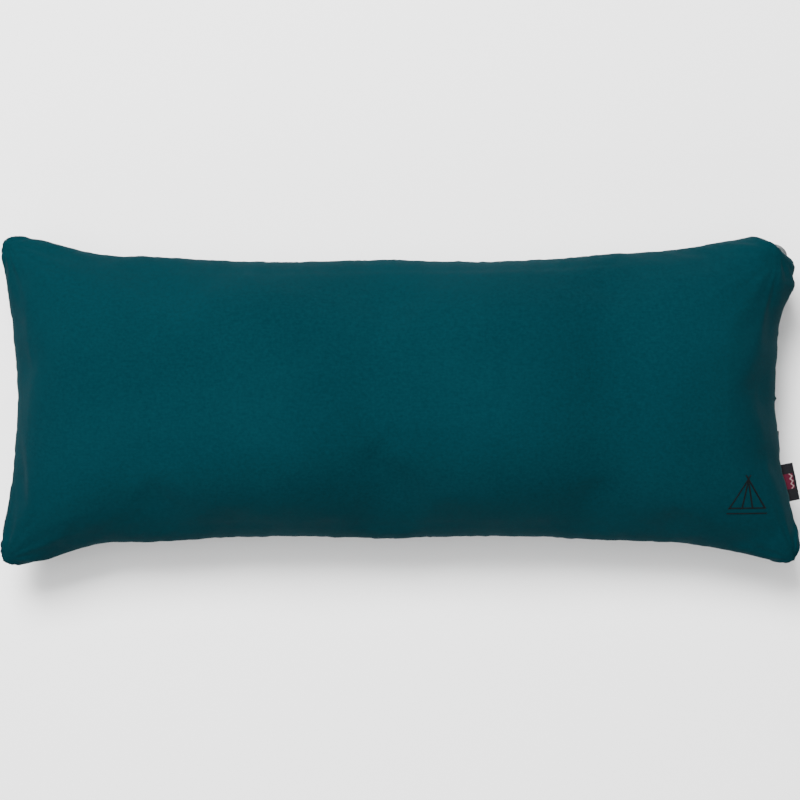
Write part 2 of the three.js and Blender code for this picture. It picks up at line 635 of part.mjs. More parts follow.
// The cap: a rounded disc with a short stub for the mouth bore and its half of the hinge.
function valveCap() {
  const edge = 0.9;
  const disc = turned([
    [0, CAP_SEAT],
    [CAP_RADIUS, CAP_SEAT],
    [CAP_RADIUS, CAP_SEAT + CAP_THICKNESS - edge],
    [CAP_RADIUS - 0.3 * edge, CAP_SEAT + CAP_THICKNESS - 0.3 * edge],
    [CAP_RADIUS - edge, CAP_SEAT + CAP_THICKNESS],
    [0, CAP_SEAT + CAP_THICKNESS],
  ], 40);
  const stubRadius = MOUTH_BORE - CAP_STUB_CLEARANCE;
  const stub = turned([
    [0, CAP_SEAT - CAP_STUB_DEPTH],
    [stubRadius - 0.4, CAP_SEAT - CAP_STUB_DEPTH],
    [stubRadius, CAP_SEAT + 0.5],
    [0, CAP_SEAT + 0.5],
  ], 28);
  const strap = block(
    [-HINGE_WIDTH / 2, CAP_HINGE_Y - HINGE_LIP, CAP_SEAT],
    [HINGE_WIDTH / 2, -CAP_RADIUS + 0.6, CAP_SEAT + HINGE_THICKNESS],
  );
  return wasm.Manifold.union([disc, stub, strap]);
}

const OPENING_RADIUS = SOCKET_RADIUS + OPENING_MARGIN;

// The bound edge of the cover's opening round the valve.
function openingBinding() {
  const inside = OPENING_RADIUS - BINDING_WIDTH;
  return turned([
    [inside, 1],
    [OPENING_RADIUS - CLEARANCE, 1],
    [OPENING_RADIUS - CLEARANCE, 1 + BINDING_THICKNESS],
    [inside, 1 + BINDING_THICKNESS],
    [inside, 1],
  ], 32);
}

// ---- Assembly -----------------------------------------------------------------------------------------------

const pillow = new THREE.Group();

const flangeRoom = roundBar(FLANGE_RADIUS + CLEARANCE, -FLANGE_THICKNESS - CLEARANCE, CLEARANCE, 40);
const coverOpening = inValvePlace(roundBar(OPENING_RADIUS, -3, 3 * SOCKET_HEIGHT).add(flangeRoom));
const labelSlot = inLabelPlace(labelPlate(CLEARANCE));
for (const [name, side] of [["cover_front_panel", 1], ["cover_back_panel", -1]]) {
  const whole = coverPanel(side);
  const panel = whole.subtract(zipWindow()).subtract(labelSlot).subtract(coverOpening);
  pillow.add(meshOf(name, panel, TEAL_CLOTH));
}
pillow.add(meshOf("side_label", inLabelPlace(labelPlate(0)), BLACK_WEAVE));

for (const [name, side] of [["zip_tape_front", 1], ["zip_tape_back", -1]])
  pillow.add(meshOf(name, zipTape(side), DARK_NYLON));
for (const [name, side] of [["zip_coil_front", 1], ["zip_coil_back", -1]])
  pillow.add(meshOf(name, zipCoil(side), DARK_NYLON));
pillow.add(meshOf("zip_bottom_stop", zipStop(ZIP_BOTTOM - STOP_LENGTH), DARK_METAL));
pillow.add(meshOf("zip_top_stop", zipStop(ZIP_TOP + CLEARANCE), DARK_METAL));
pillow.add(meshOf("zip_slider", zipSlider(), DARK_METAL));
pillow.add(meshOf("zip_pull", zipPull(), DARK_METAL));

const skinOpening = inValvePlace(roundBar(FLANGE_RADIUS + CLEARANCE, -20, 20));
for (const [name, side] of [["bladder_front_skin", 1], ["bladder_back_skin", -1]])
  pillow.add(meshOf(name, bladderSkin(side).subtract(skinOpening).subtract(zipRoom()), BLADDER_FILM));
["web_left", "web_middle", "web_right"].forEach((name, n) =>
  pillow.add(meshOf(name, web(WEBS[n]), BLADDER_FILM)),
);

const valve = new THREE.Group();
valve.applyMatrix4(VALVE_PLACE);
valve.add(meshOf("valve_base", valveBase(), GREY_PLASTIC));
valve.add(meshOf("valve_plug", valvePlug(), GREY_PLASTIC));
valve.add(meshOf("valve_flap", valveFlap(), GREY_SILICONE));
valve.add(meshOf("valve_cap", valveCap(), GREY_PLASTIC));
valve.add(meshOf("valve_opening_binding", openingBinding(), TEAL_CLOTH));
pillow.add(valve);

export default pillow;
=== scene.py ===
"""An inflatable camp pillow in a soft zipped cover, built round its CAD frame. Metres, +Z up."""

import math

import bmesh
import bpy
import numpy as np
from mathutils import Matrix, Vector
from mathutils.bvhtree import BVHTree


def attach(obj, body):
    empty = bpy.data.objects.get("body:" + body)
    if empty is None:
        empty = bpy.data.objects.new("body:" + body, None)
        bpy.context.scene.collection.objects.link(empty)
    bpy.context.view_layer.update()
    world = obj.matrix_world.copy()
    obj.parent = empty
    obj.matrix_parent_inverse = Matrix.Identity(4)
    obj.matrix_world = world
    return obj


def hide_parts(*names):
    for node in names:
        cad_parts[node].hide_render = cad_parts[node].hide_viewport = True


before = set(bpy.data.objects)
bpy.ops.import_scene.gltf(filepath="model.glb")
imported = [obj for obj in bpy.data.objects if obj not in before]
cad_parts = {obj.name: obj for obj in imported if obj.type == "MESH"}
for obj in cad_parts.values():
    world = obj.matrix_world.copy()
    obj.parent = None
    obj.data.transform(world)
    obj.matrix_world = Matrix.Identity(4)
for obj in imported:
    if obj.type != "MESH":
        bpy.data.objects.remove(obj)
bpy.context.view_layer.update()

MM = 0.001

# ---- Sizes in metres, the same as the frame's ------------

LENGTH = 510 * MM
WIDTH = 210.6 * MM
SEAM_HEIGHT = 51 * MM
FRONT_BULGE = 56.5 * MM
BACK_BULGE = 57 * MM
CLOTH = 0.9 * MM

# How far each edge draws in at its middle, and how sharply it flares back to its corners
TOP_DRAW, BOTTOM_DRAW, LEFT_DRAW, RIGHT_DRAW = 22 * MM, 24 * MM, 15.3 * MM, 21.8 * MM
TOP_LEFT_FLARE, TOP_RIGHT_FLARE, BOTTOM_FLARE = 4.8, 2.8, 4.5
LEFT_FLARE, RIGHT_TOP_FLARE, RIGHT_BOTTOM_FLARE = 1.8, 1.6, 1.3
END_X = LENGTH / 2 + 4 * MM
EDGE_Y = WIDTH / 2 + 5.2 * MM
SPINE = LENGTH / 2 - 105 * MM

# Webs between the air chambers
WEBS = (-147 * MM, -10 * MM, 127 * MM)
VALLEY_HALF_WIDTH = 34 * MM
COVER_VALLEY = 7.5 * MM
BLADDER_VALLEY = 9 * MM
SCALLOP, SCALLOP_END = 1.5 * MM, 0.2
TOP_SET_IN, TOP_SET_END = 1.7 * MM, 0.215
SWELL_MOST, SWELL_FRAMES = 5 * MM, 20
SEAM_ALLOWANCE = 5 * MM

# Small tucks in the seam: where, how far it moves, and how far round it reaches
SEAM_TUCKS = [
    (0.236, 0.0985, -1.6 * MM, -2.1 * MM, 7.5 * MM),
    (0.2475, 0.093, -0.7 * MM, -0.8 * MM, 5 * MM),
    (0.2485, 0.0705, 3.2 * MM, 0.6 * MM, 6.5 * MM),
    (0.244, 0.054, -1.2 * MM, 0, 8 * MM),
    (0.239, 0.041, -2.2 * MM, 0, 11 * MM),
    (0.243, -0.042, -2.0 * MM, 0, 9 * MM),
    (0.252, -0.086, 1.2 * MM, 0, 7 * MM),
    (0.25, -0.099, -2.6 * MM, 0.4 * MM, 6 * MM),
    (-0.227, -0.099, 0, -2.0 * MM, 17 * MM),
    (-0.186, -0.0925, 0, 1.6 * MM, 18 * MM),
    (-0.184, 0.092, 0, -1.3 * MM, 24 * MM),
]

# Zip and label in the right-hand end seam
ZIP_BOTTOM, ZIP_TOP = -32 * MM, 42 * MM
STOP_LENGTH = 2.4 * MM
ZIP_LIP = 3.9 * MM
SLIDER_MIDDLE, PULL_PIN_X = -22.1, 239.777
SEAM_RISE, LABEL_RISE = 0.15 * MM, 0.4 * MM
LABEL_MIDDLE = -52.6 * MM
LABEL_TILT = 11.5
LABEL_LENGTH = 24 * MM

# Valve
VALVE_SWING, VALVE_TILT = 49, 30
VALVE_CENTRE = Vector((LENGTH / 2 - 17.7 * MM, WIDTH / 2 - 17.8 * MM, SEAM_HEIGHT - 14.2 * MM))
OPENING_RADIUS = 14.4 * MM
FLANGE_RADIUS = 15 * MM
STIFF_SPOT, STIFF_REACH = (0.236, 0.099), 24 * MM
PROP_HEIGHT = 2 * MM
# Sides of the tool that cuts the opening: with 72 the cut never finishes
OPENING_SIDES = 61

# Bladder
FILM = 0.5 * MM
BLADDER_FLOOR = 3 * MM
BLADDER_INSET, BLADDER_GAP = 12 * MM, 4.2 * MM


# ---- The pillow's outline --------------------------------


def rounded_end(start, corners, finish, steps=60):
    """The outline round one end as points, from start to finish past its rounded corners."""
    stops = [np.array(start)] + [np.array(c[:2]) for c in corners] + [np.array(finish)]
    points = []
    here = stops[0]
    for n, (_, _, radius) in enumerate(corners):
        corner = stops[n + 1]
        back = stops[n] - corner
        ahead = stops[n + 2] - corner
        back = back / np.linalg.norm(back)
        ahead = ahead / np.linalg.norm(ahead)
        half = math.acos(float(np.clip(back @ ahead, -1, 1))) / 2
        reach = radius / math.tan(half)
        entry = corner + back * reach
        leave = corner + ahead * reach
        for t in np.linspace(0, 1, steps, endpoint=False):
            points.append(here * (1 - t) + entry * t)
        for t in np.linspace(0, 1, steps // 2, endpoint=False):
            points.append((1 - t) ** 2 * entry + 2 * t * (1 - t) * corner + t * t * leave)
        here = leave
    for t in np.linspace(0, 1, steps, endpoint=False):
        points.append(here * (1 - t) + stops[-1] * t)
    return points


def drawn_in(points):
    """Air pressure draws the middle of every edge in and leaves the corners standing out."""
    x, y = points[:, 0], points[:, 1]
    along = np.minimum(1, np.abs(x) / END_X)
    across = np.minimum(1, np.abs(y) / EDGE_Y)
    flare_y = np.where(y > 0, np.where(x < 0, TOP_LEFT_FLARE, TOP_RIGHT_FLARE), BOTTOM_FLARE)
    draw_y = np.where(y > 0, TOP_DRAW, BOTTOM_DRAW)
    flare_x = np.where(x < 0, LEFT_FLARE, np.where(y > 0, RIGHT_TOP_FLARE, RIGHT_BOTTOM_FLARE))
    draw_x = np.where(x < 0, LEFT_DRAW, RIGHT_DRAW)
    new_x = x * (1 - draw_x / END_X * (1 - across**flare_x))
    new_y = y * (1 - draw_y / EDGE_Y * (1 - along**flare_y))
    return np.stack([new_x, new_y], 1)


def outline():
    """The seam's closed line, anticlockwise, brought to the pillow's own length and width."""
    right = [
        (END_X, -EDGE_Y, 24 * MM),
        (END_X, EDGE_Y - 23 * MM, 16 * MM),
        (END_X - 33.4 * MM, EDGE_Y, 2 * MM),
    ]
    left = [(-END_X, EDGE_Y, 25 * MM), (-END_X, -EDGE_Y, 21 * MM)]
    run = np.linspace(-SPINE, SPINE, 160, endpoint=False)
    points = [np.array((x, -EDGE_Y)) for x in run]
    points += rounded_end((SPINE, -EDGE_Y), right, (SPINE, EDGE_Y))
    points += [np.array((-x, EDGE_Y)) for x in run]
    points += rounded_end((-SPINE, EDGE_Y), left, (-SPINE, -EDGE_Y))
    line = drawn_in(np.array(points))
    low, high = line.min(0), line.max(0)
    line = (line - (low + high) / 2) * (np.array([LENGTH, WIDTH]) / (high - low))
    lift = SCALLOP * valley_at(line[:, 0]) * (np.abs(line[:, 0]) < SCALLOP_END)
    line[:, 1] += np.sign(line[:, 1]) * lift
    on_top = line[:, 1] > EDGE_Y / 2
    line[:, 1] -= TOP_SET_IN * on_top * (1 - (np.abs(line[:, 0]) / TOP_SET_END) ** 6).clip(0)
    for x, y, move_x, move_y, reach in SEAM_TUCKS:
        near = np.exp(-(((line[:, 0] - x) ** 2 + (line[:, 1] - y) ** 2) / reach**2))
        line += near[:, None] * np.array((move_x, move_y))
    return line


def valley_at(x):
    """1 over a web, falling to 0 in the middle of a chamber."""
    return np.max([np.exp(-(((x - web) / VALLEY_HALF_WIDTH) ** 2)) for web in WEBS], axis=0)


SEAM_LINE = outline()


def side_between(start, finish, shares):
    """Points at shares of the way along the outline, from the place nearest start to that nearest finish."""
    first = int(np.argmin(np.hypot(*(SEAM_LINE - start).T)))
    last = int(np.argmin(np.hypot(*(SEAM_LINE - finish).T)))
    count = (last - first) % len(SEAM_LINE)
    run = SEAM_LINE[(first + np.arange(count + 1)) % len(SEAM_LINE)]
    walked = np.concatenate([[0], np.cumsum(np.hypot(*np.diff(run, axis=0).T))])
    at = shares * walked[-1]
    return np.stack([np.interp(at, walked, run[:, 0]), np.interp(at, walked, run[:, 1])], 1)


CORNERS = {
    "bottom_left": np.array((-251.5, -101.5)) * MM,
    "bottom_right": np.array((251, -101.5)) * MM,
    "valve": np.array((239.5, 93)) * MM,
    "top_left": np.array((-250.5, 100.5)) * MM,
}


# ---- Padded shells ---------------------------------------


def graded(count, extra=(0.12, 0.3, 0.6)):
    """Angles from edge to edge, with a few more rows beside each edge for the seam."""
    base = np.linspace(-math.pi / 2, math.pi / 2, count)
    step = base[1] - base[0]
    more = [base[0] + step * e for e in extra] + [base[-1] - step * e for e in extra]
    return np.sort(np.concatenate([base, more]))


def sheet_plan(angles_a, angles_b, inset=0.0):
    """Plan positions of a grid laid between the outline's four sides, and its two coordinates from -1 to 1."""
    a, b = np.sin(angles_a), np.sin(angles_b)
    u, v = (a + 1) / 2, (b + 1) / 2
    bottom = side_between(CORNERS["bottom_left"], CORNERS["bottom_right"], u)
    right = side_between(CORNERS["bottom_right"], CORNERS["valve"], v)
    top = side_between(CORNERS["valve"], CORNERS["top_left"], 1 - u)
    left = side_between(CORNERS["top_left"], CORNERS["bottom_left"], 1 - v)
    uu, vv = u[:, None, None], v[None, :, None]
    plan = (1 - vv) * bottom[:, None] + vv * top[:, None] + (1 - uu) * left[None] + uu * right[None]
    plan = plan - (1 - uu) * (1 - vv) * bottom[0] - uu * (1 - vv) * bottom[-1]
    plan = plan - (1 - uu) * vv * top[0] - uu * vv * top[-1]
    if inset:
        plan = plan * (1 - inset / (np.array([LENGTH, WIDTH]) / 2))
    aa, bb = np.broadcast_to(a[:, None], plan.shape[:2]), np.broadcast_to(b[None], plan.shape[:2])
    return plan, aa, bb


def fullness(a, b):
    """Height of a filled panel as a share of its crown: full in the middle, thin at the plain corners."""
    ends = np.sqrt(np.maximum(0, 1 - np.abs(a) ** 3.5))
    edges = np.sqrt(np.maximum(0, 1 - np.abs(b) ** 2.15))
    plain = ends * edges
    sharp = np.log(np.exp(24 * a) + np.exp(24 * b)) / 24
    corner = np.sqrt(np.maximum(0, 1 - np.clip(sharp, 0, 1) ** 2))
    near = np.exp(-(((1 - a) / 0.16) ** 2 + ((1 - b) / 0.34) ** 2) ** 1.5)
    return plain * (1 - near) + np.maximum(plain, corner * 0.92) * near


def window_rise(x, y):
    """How far the panels' edges part: a little for the label, and as far as the zip's lips at the zip."""
    ramp = 3.5 * MM

    def span(low, high):
        return smoothed(np.clip((y - low) / ramp + 0.5, 0, 1) * np.clip((high - y) / ramp + 0.5, 0, 1))

    at_end = (x > 0.2).astype(float)
    zip_part = span(ZIP_BOTTOM - STOP_LENGTH, ZIP_TOP + STOP_LENGTH) * (ZIP_LIP - SEAM_RISE)
    label_part = span(LABEL_MIDDLE - LABEL_LENGTH / 2, LABEL_MIDDLE + LABEL_LENGTH / 2) * LABEL_RISE
    return SEAM_RISE + at_end * np.maximum(zip_part, label_part)


def panel_points(side, angles_a, angles_b, bulge, valley, inset=0.0, rise=None, floor=0.0):
    """The outer face of one panel as an array of points: side 1 is the front and -1 the back."""
    plan, a, b = sheet_plan(angles_a, angles_b, inset)
    x, y = plan[..., 0], plan[..., 1]
    full = fullness(a, b)
    height = (bulge - valley * valley_at(x)) * full
    rise = window_rise(x, y) if rise is None else rise
    height = np.sqrt(height**2 + rise**2)
    z = SEAM_HEIGHT + side * height
    soft = 2.2 * MM
    z = floor + soft * np.logaddexp(0, (z - floor) / soft)
    return np.stack([x, y, z], -1), full


def unit(arrows):
    """Arrows of length 1, whatever their own lengths."""
    return arrows / np.maximum(np.linalg.norm(arrows, axis=-1, keepdims=True), 1e-12)


def calmed(values, times):
    """Values round a closed line, each eased towards its neighbours."""
    for _ in range(times):
        values = (np.roll(values, 1, 0) + 2 * values + np.roll(values, -1, 0)) / 4
    return values


def smoothed(share):
    """A share from 0 to 1 with its two ends eased."""
    return share * share * (3 - 2 * share)


def grid_normals(points, side):
    """Outward unit normals of a grid of points."""
    du = np.gradient(points, axis=0)
    dv = np.gradient(points, axis=1)
    return unit(np.cross(du, dv) * side)


def linked(name, data):
    """A new object in the scene, for a mesh, a lamp or a camera."""
    item = bpy.data.objects.new(name, data)
    bpy.context.scene.collection.objects.link(item)
    return item


def mesh_object(name, verts, faces, edges=()):
    mesh = bpy.data.meshes.new(name)
    mesh.from_pydata([tuple(v) for v in verts], edges, faces)
    mesh.update()
    return linked(name, mesh)


def from_work(name, work):
    """A piece from a finished bmesh."""
    mesh = bpy.data.meshes.new(name)
    work.to_mesh(mesh)
    work.free()
    return linked(name, mesh)


def grid_faces(rows, columns, start=0, flip=False):
    """Quads of a grid whose points are numbered row by row."""
    i, j = np.meshgrid(np.arange(rows - 1), np.arange(columns - 1), indexing="ij")
    corner = (start + i * columns + j).ravel()
    quads = np.stack([corner, corner + columns, corner + columns + 1, corner + 1], 1)
    return (quads[:, ::-1] if flip else quads).tolist()


def tube_faces(rows, columns, closed=False):
    """Quads of a tube whose rings are numbered one after another."""
    faces = []
    for i in range(rows if closed else rows - 1):
        near, far = i * columns, (i + 1) % rows * columns
        for j in range(columns):
            after = (j + 1) % columns
            faces.append((near + j, far + j, far + after, near + after))
    return faces


def flat_band(name, rings):
    """A thin closed band: each ring of points runs out along one face and back along the other."""
    rows, columns = rings.shape[:2]
    faces = tube_faces(rows, columns)
    for start, turn in ((0, 1), ((rows - 1) * columns, -1)):
        for j in range(columns // 2 - 1):
            far = start + columns - 1 - j
            faces.append((start + j, far, far - 1, start + j + 1)[::turn])
    piece = mesh_object(name, rings.reshape(-1, 3), faces)
    work = bmesh.new()
    work.from_mesh(piece.data)
    bmesh.ops.recalc_face_normals(work, faces=work.faces)
    work.to_mesh(piece.data)
    work.free()
    return piece


def rim_loop(rows, columns):
    """Indices round a grid's edge, anticlockwise seen from above."""
    index = np.arange(rows * columns).reshape(rows, columns)
    return np.concatenate([index[:, 0], index[-1, 1:], index[-2::-1, -1], index[0, -2:0:-1]])


def simulated_swell(count_a, count_b):
    """Runs cloth under air pressure on a coarse closed pillow, and gives how far each panel's points move."""
    angles_a = np.linspace(-math.pi / 2, math.pi / 2, count_a)
    angles_b = np.linspace(-math.pi / 2, math.pi / 2, count_b)
    front, _ = panel_points(1, angles_a, angles_b, FRONT_BULGE - 1.5 * MM, COVER_VALLEY, rise=0.3 * MM)
    back, _ = panel_points(-1, angles_a, angles_b, BACK_BULGE - 1.5 * MM, COVER_VALLEY, rise=0.3 * MM)
    size = count_a * count_b
    rim = rim_loop(count_a, count_b)
    verts = front.reshape(-1, 3)
    under = back.reshape(-1, 3)
    verts[rim, 2] = SEAM_HEIGHT
    number = np.full(size, -1)
    number[rim] = rim
    inner = np.setdiff1d(np.arange(size), rim)
    number[inner] = size + np.arange(len(inner))
    everything = np.concatenate([verts, under[inner]])
    faces = grid_faces(count_a, count_b)
    faces += [[int(number[k]) for k in quad] for quad in grid_faces(count_a, count_b, flip=True)]
    piece = mesh_object("swell_form", everything, faces)
    pins = piece.vertex_groups.new(name="pins")
    pins.add([int(k) for k in rim], 1.0, "REPLACE")
    resting = [int(number[k]) for k in inner if under[k, 2] < 2.5 * MM]
    pins.add(resting, 1.0, "REPLACE")
    cloth = piece.modifiers.new("cloth", "CLOTH")
    trial = {
        "quality": 6,
        "mass": 0.3,
        "tension_stiffness": 12,
        "compression_stiffness": 12,
        "shear_stiffness": 6,
        "bending_stiffness": 0.6,
        "shrink_min": -0.022,
        "use_pressure": True,
        "uniform_pressure_force": 4,
        "vertex_group_mass": "pins",
        "pin_stiffness": 1,
    }
    for key, value in trial.items():
        setattr(cloth.settings, key, value)
    cloth.settings.effector_weights.gravity = 0
    cloth.collision_settings.use_collision = False
    cloth.point_cache.frame_start = 1
    cloth.point_cache.frame_end = SWELL_FRAMES
    scene = bpy.context.scene
    for step in range(SWELL_FRAMES):
        scene.frame_set(step + 1)
    solved = piece.evaluated_get(bpy.context.evaluated_depsgraph_get())
    moved = np.empty(len(everything) * 3)
    solved.data.vertices.foreach_get("co", moved)
    shift = moved.reshape(-1, 3) - everything
    scene.frame_set(1)
    bpy.data.objects.remove(piece)
    grid = (count_a, count_b, 3)
    return angles_a, angles_b, shift[:size].reshape(grid), shift[number].reshape(grid)


def capped(shift, most):
    """A shift whose length never passes a cap, however far the cloth went."""
    size = np.linalg.norm(shift, axis=-1, keepdims=True)
    return shift * (most * np.tanh(size / most) / np.maximum(size, 1e-9))


def finer(field, old_a, old_b, new_a, new_b):
    """A coarse field read at a finer grid's angles."""
    along = np.apply_along_axis(lambda run: np.interp(new_a, old_a, run), 0, field)
    across = np.apply_along_axis(lambda run: np.interp(new_b, old_b, run), 1, along)
    for _ in range(2):
        across[1:-1] = (across[:-2] + 2 * across[1:-1] + across[2:]) / 4
        across[:, 1:-1] = (across[:, :-2] + 2 * across[:, 1:-1] + across[:, 2:]) / 4
    return across


def waves(values, seed, octaves=4):
    """A smooth wandering line from -1 to 1 along an array of values, the same on every run."""
    spread = np.random.default_rng(seed)
    total = np.zeros_like(values)
    for octave in range(octaves):
        total += np.sin(values * (1.7**octave) + spread.uniform(0, 2 * math.pi)) / (1.25**octave)
    return total / 2.4


def sewn_details(points, normals, seed):
    """Seam groove, puckers beside it, gathers running out of the corners, and slight slackness between."""
    x, y, z = points[..., 0], points[..., 1], points[..., 2]
    from_seam = np.abs(z - SEAM_HEIGHT)
    flat = normals.copy()
    flat[..., 2] = 0
    flat = unit(flat)
    turn = np.arctan2(y * 1.6, x)
    around = turn * 26
    in_window = np.clip((window_rise(x, y) - 0.6 * MM) / MM, 0, 1)
    groove = 1.25 * MM * np.exp(-((from_seam / (1.5 * MM)) ** 1.3)) * (1 - 0.6 * in_window)
    pucker = 0.32 * MM * waves(around * 5, seed) * np.exp(-from_seam / (7 * MM)) * (1 - in_window)
    wander = 0.5 * MM * waves(around * 0.9, seed + 1) * np.exp(-from_seam / (24 * MM))
    shift = -flat * groove[..., None] + normals * (pucker + wander)[..., None]
    for n, corner in enumerate(CORNERS.values()):
        dx, dy = x - corner[0], y - corner[1]
        away = np.hypot(dx, dy)
        angle = np.arctan2(dy, dx)
        strength = 0.75 * MM * np.exp(-away / (34 * MM)) * (away / (away + 7 * MM))
        folds = np.cos(angle * 17 + waves(angle * 3, seed + 9 * n) * 2.2)
        shift += normals * (strength * folds)[..., None]
    slack = 0.3 * MM * waves(x * 60 + y * 22, seed + 3, 3) * waves(y * 75 - x * 12, seed + 4, 3)
    shift += normals * slack[..., None]
    return shift


def cloth_shell(name, points, normals, side, thickness, allowance):
    """A closed cloth shell from its outer face: the edge turns inside along the seam, then the inner face."""
    rows, columns = points.shape[:2]
    size = rows * columns
    inner = points - normals * thickness
    loop = rim_loop(rows, columns)
    outer_rim = points.reshape(-1, 3)[loop]
    ahead = np.roll(outer_rim, -1, 0) - np.roll(outer_rim, 1, 0)
    inward = np.stack([-ahead[:, 1], ahead[:, 0], np.zeros(len(loop))], 1)
    inward = unit(inward)
    inward = unit(calmed(inward, 30))
    up = np.array([0, 0, side * math.copysign(thickness, allowance)])
    inner_flat = inner.reshape(-1, 3).copy()
    inner_flat[loop] = outer_rim + inward * thickness + up
    rings = [outer_rim + inward * allowance * 0.5, outer_rim + inward * allowance]
    rings += [outer_rim + inward * allowance + up, outer_rim + inward * allowance * 0.5 + up]
    verts = np.concatenate([points.reshape(-1, 3), inner_flat, *rings])
    front = side > 0
    faces = grid_faces(rows, columns, flip=not front)
    faces += grid_faces(rows, columns, start=size, flip=front)
    loops = [loop] + [2 * size + k * len(loop) + np.arange(len(loop)) for k in range(4)] + [size + loop]
    for first, second in zip(loops[:-1], loops[1:]):
        quads = np.stack([first, second, np.roll(second, -1), np.roll(first, -1)], 1)
        faces += (quads if front else quads[:, ::-1]).tolist()
    return mesh_object(name, verts, faces)


def cloth_map(piece, rows, columns):
    """A map in metres along the cloth, so that its weave isn't stretched where the panel turns down."""
    mesh = piece.data
    co = np.empty(len(mesh.vertices) * 3)
    mesh.vertices.foreach_get("co", co)
    co = co.reshape(-1, 3)
    grid = co[: rows * columns].reshape(rows, columns, 3)
    along = np.zeros((rows, columns))
    across = np.zeros((rows, columns))
    along[1:] = np.cumsum(np.linalg.norm(np.diff(grid, axis=0), axis=-1), axis=0)
    across[:, 1:] = np.cumsum(np.linalg.norm(np.diff(grid, axis=1), axis=-1), axis=1)
    along -= along[rows // 2][None]
    across -= across[:, columns // 2][:, None]
    values = np.stack([along, across], -1).reshape(-1, 2)
    flat = co[:, :2].copy()
    flat[: rows * columns] = values
    flat[rows * columns : 2 * rows * columns] = values
    layer = mesh.uv_layers.new(name="cloth")
    corner = np.empty(len(mesh.loops), dtype=np.int64)
    mesh.loops.foreach_get("vertex_index", corner)
    layer.data.foreach_set("uv", flat[corner].ravel())


def surface_of(piece):
    """A piece's faces, ready for finding where a line meets them."""
    bpy.context.view_layer.update()
    return BVHTree.FromObject(piece, bpy.context.evaluated_depsgraph_get())


def smooth_shaded(piece):
    piece.data.polygons.foreach_set("use_smooth", [True] * len(piece.data.polygons))
    return piece


def in_valve_place():
    """The valve's own frame: its axis points out and down from the corner, and its Y points up and out."""
    swing, tilt = math.radians(VALVE_SWING), math.radians(VALVE_TILT)
    out = Vector((math.cos(swing), math.sin(swing), 0))
    axis = out * math.cos(tilt)
    axis.z = -math.sin(tilt)
    side = Vector((-out.y, out.x, 0))
    up = axis.cross(side)
    place = Matrix((side, up, axis)).transposed().to_4x4()
    place.translation = VALVE_CENTRE
    return place


VALVE_PLACE = in_valve_place()


def cut_round(piece, radius, low, high):
    """Cuts the round opening for the valve out of a shell."""
    tool = turned_mesh("opening_tool", [(0, low), (radius, low), (radius, high), (0, high)], OPENING_SIDES)
    tool.data.transform(VALVE_PLACE)
    cut = piece.modifiers.new("opening", "BOOLEAN")
    cut.operation = "DIFFERENCE"
    cut.solver = "MANIFOLD"
    cut.object = tool
    apply_modifiers(piece)
    bpy.data.objects.remove(tool)


def apply_modifiers(piece):
    solved = piece.evaluated_get(bpy.context.evaluated_depsgraph_get())
    mesh = bpy.data.meshes.new_from_object(solved)
    piece.modifiers.clear()
    piece.data = mesh


# ---- Turned and moulded pieces ---------------------------


def turned_mesh(name, profile, segments):
    """A turned piece about +Z from (radius, height) pairs, closed on the axis or back on itself."""
    work = bmesh.new()
    loops = []
    for radius, height in profile:
        if radius < 1e-7:
            loops.append([work.verts.new((0, 0, height))])
            continue
        turns = [2 * math.pi * k / segments for k in range(segments)]
        ring = [(radius * math.cos(turn), radius * math.sin(turn), height) for turn in turns]
        loops.append([work.verts.new(place) for place in ring])
    closing = [loops[0]] if len(loops[0]) > 1 else []
    for first, second in zip(loops, loops[1:] + closing):
        if len(first) == 1 and len(second) == 1:
            continue
        for k in range(segments):
            after = (k + 1) % segments
            near = (first[k], first[after]) if len(first) > 1 else (first[0],)
            far = (second[after], second[k]) if len(second) > 1 else (second[0],)
            work.faces.new(near + far)
    bmesh.ops.recalc_face_normals(work, faces=work.faces)
    return from_work(name, work)


def eased(profile, ease, closed=False):
    """A profile in millimetres with its corners rounded, in metres."""
    points = [np.array(p, dtype=float) for p in profile]
    count = len(points)
    done = []
    for k, point in enumerate(points):
        ends = not closed and k in (0, count - 1)
        before, after = points[(k - 1) % count], points[(k + 1) % count]
        if ends:
            done.append(tuple(point * MM))
            continue
        back, ahead = before - point, after - point
        reach = min(ease, np.linalg.norm(back) * 0.45, np.linalg.norm(ahead) * 0.45)
        entry = point + back / np.linalg.norm(back) * reach
        leave = point + ahead / np.linalg.norm(ahead) * reach
        for t in (0, 0.33, 0.67, 1):
            place = (1 - t) ** 2 * entry + 2 * t * (1 - t) * point + t * t * leave
            done.append(tuple(place * MM))
    return done


def bevelled_block(low, high, ease=0.25, segments=3):
    """A block between two corners in millimetres, with its edges rounded, as a new bmesh."""
    work = bmesh.new()
    bmesh.ops.create_cube(work, size=1)
    low, high = np.array(low) * MM, np.array(high) * MM
    for vert in work.verts:
        vert.co = Vector(low + (np.array(vert.co) + 0.5) * (high - low))
    bmesh.ops.bevel(
        work,
        geom=work.edges[:],
        offset=ease * MM,
        segments=segments,
        profile=0.6,
        affect="EDGES",
    )
    return work


def joined(name, parts):
    """One piece from several bmesh parts or objects."""
    work = bmesh.new()
    for part in parts:
        if isinstance(part, bmesh.types.BMesh):
            spare = bpy.data.meshes.new("spare")
            part.to_mesh(spare)
            part.free()
            work.from_mesh(spare)
            bpy.data.meshes.remove(spare)
        else:
            work.from_mesh(part.data)
            bpy.data.objects.remove(part)
    return from_work(name, work)


# ---- Materials -------------------------------------------


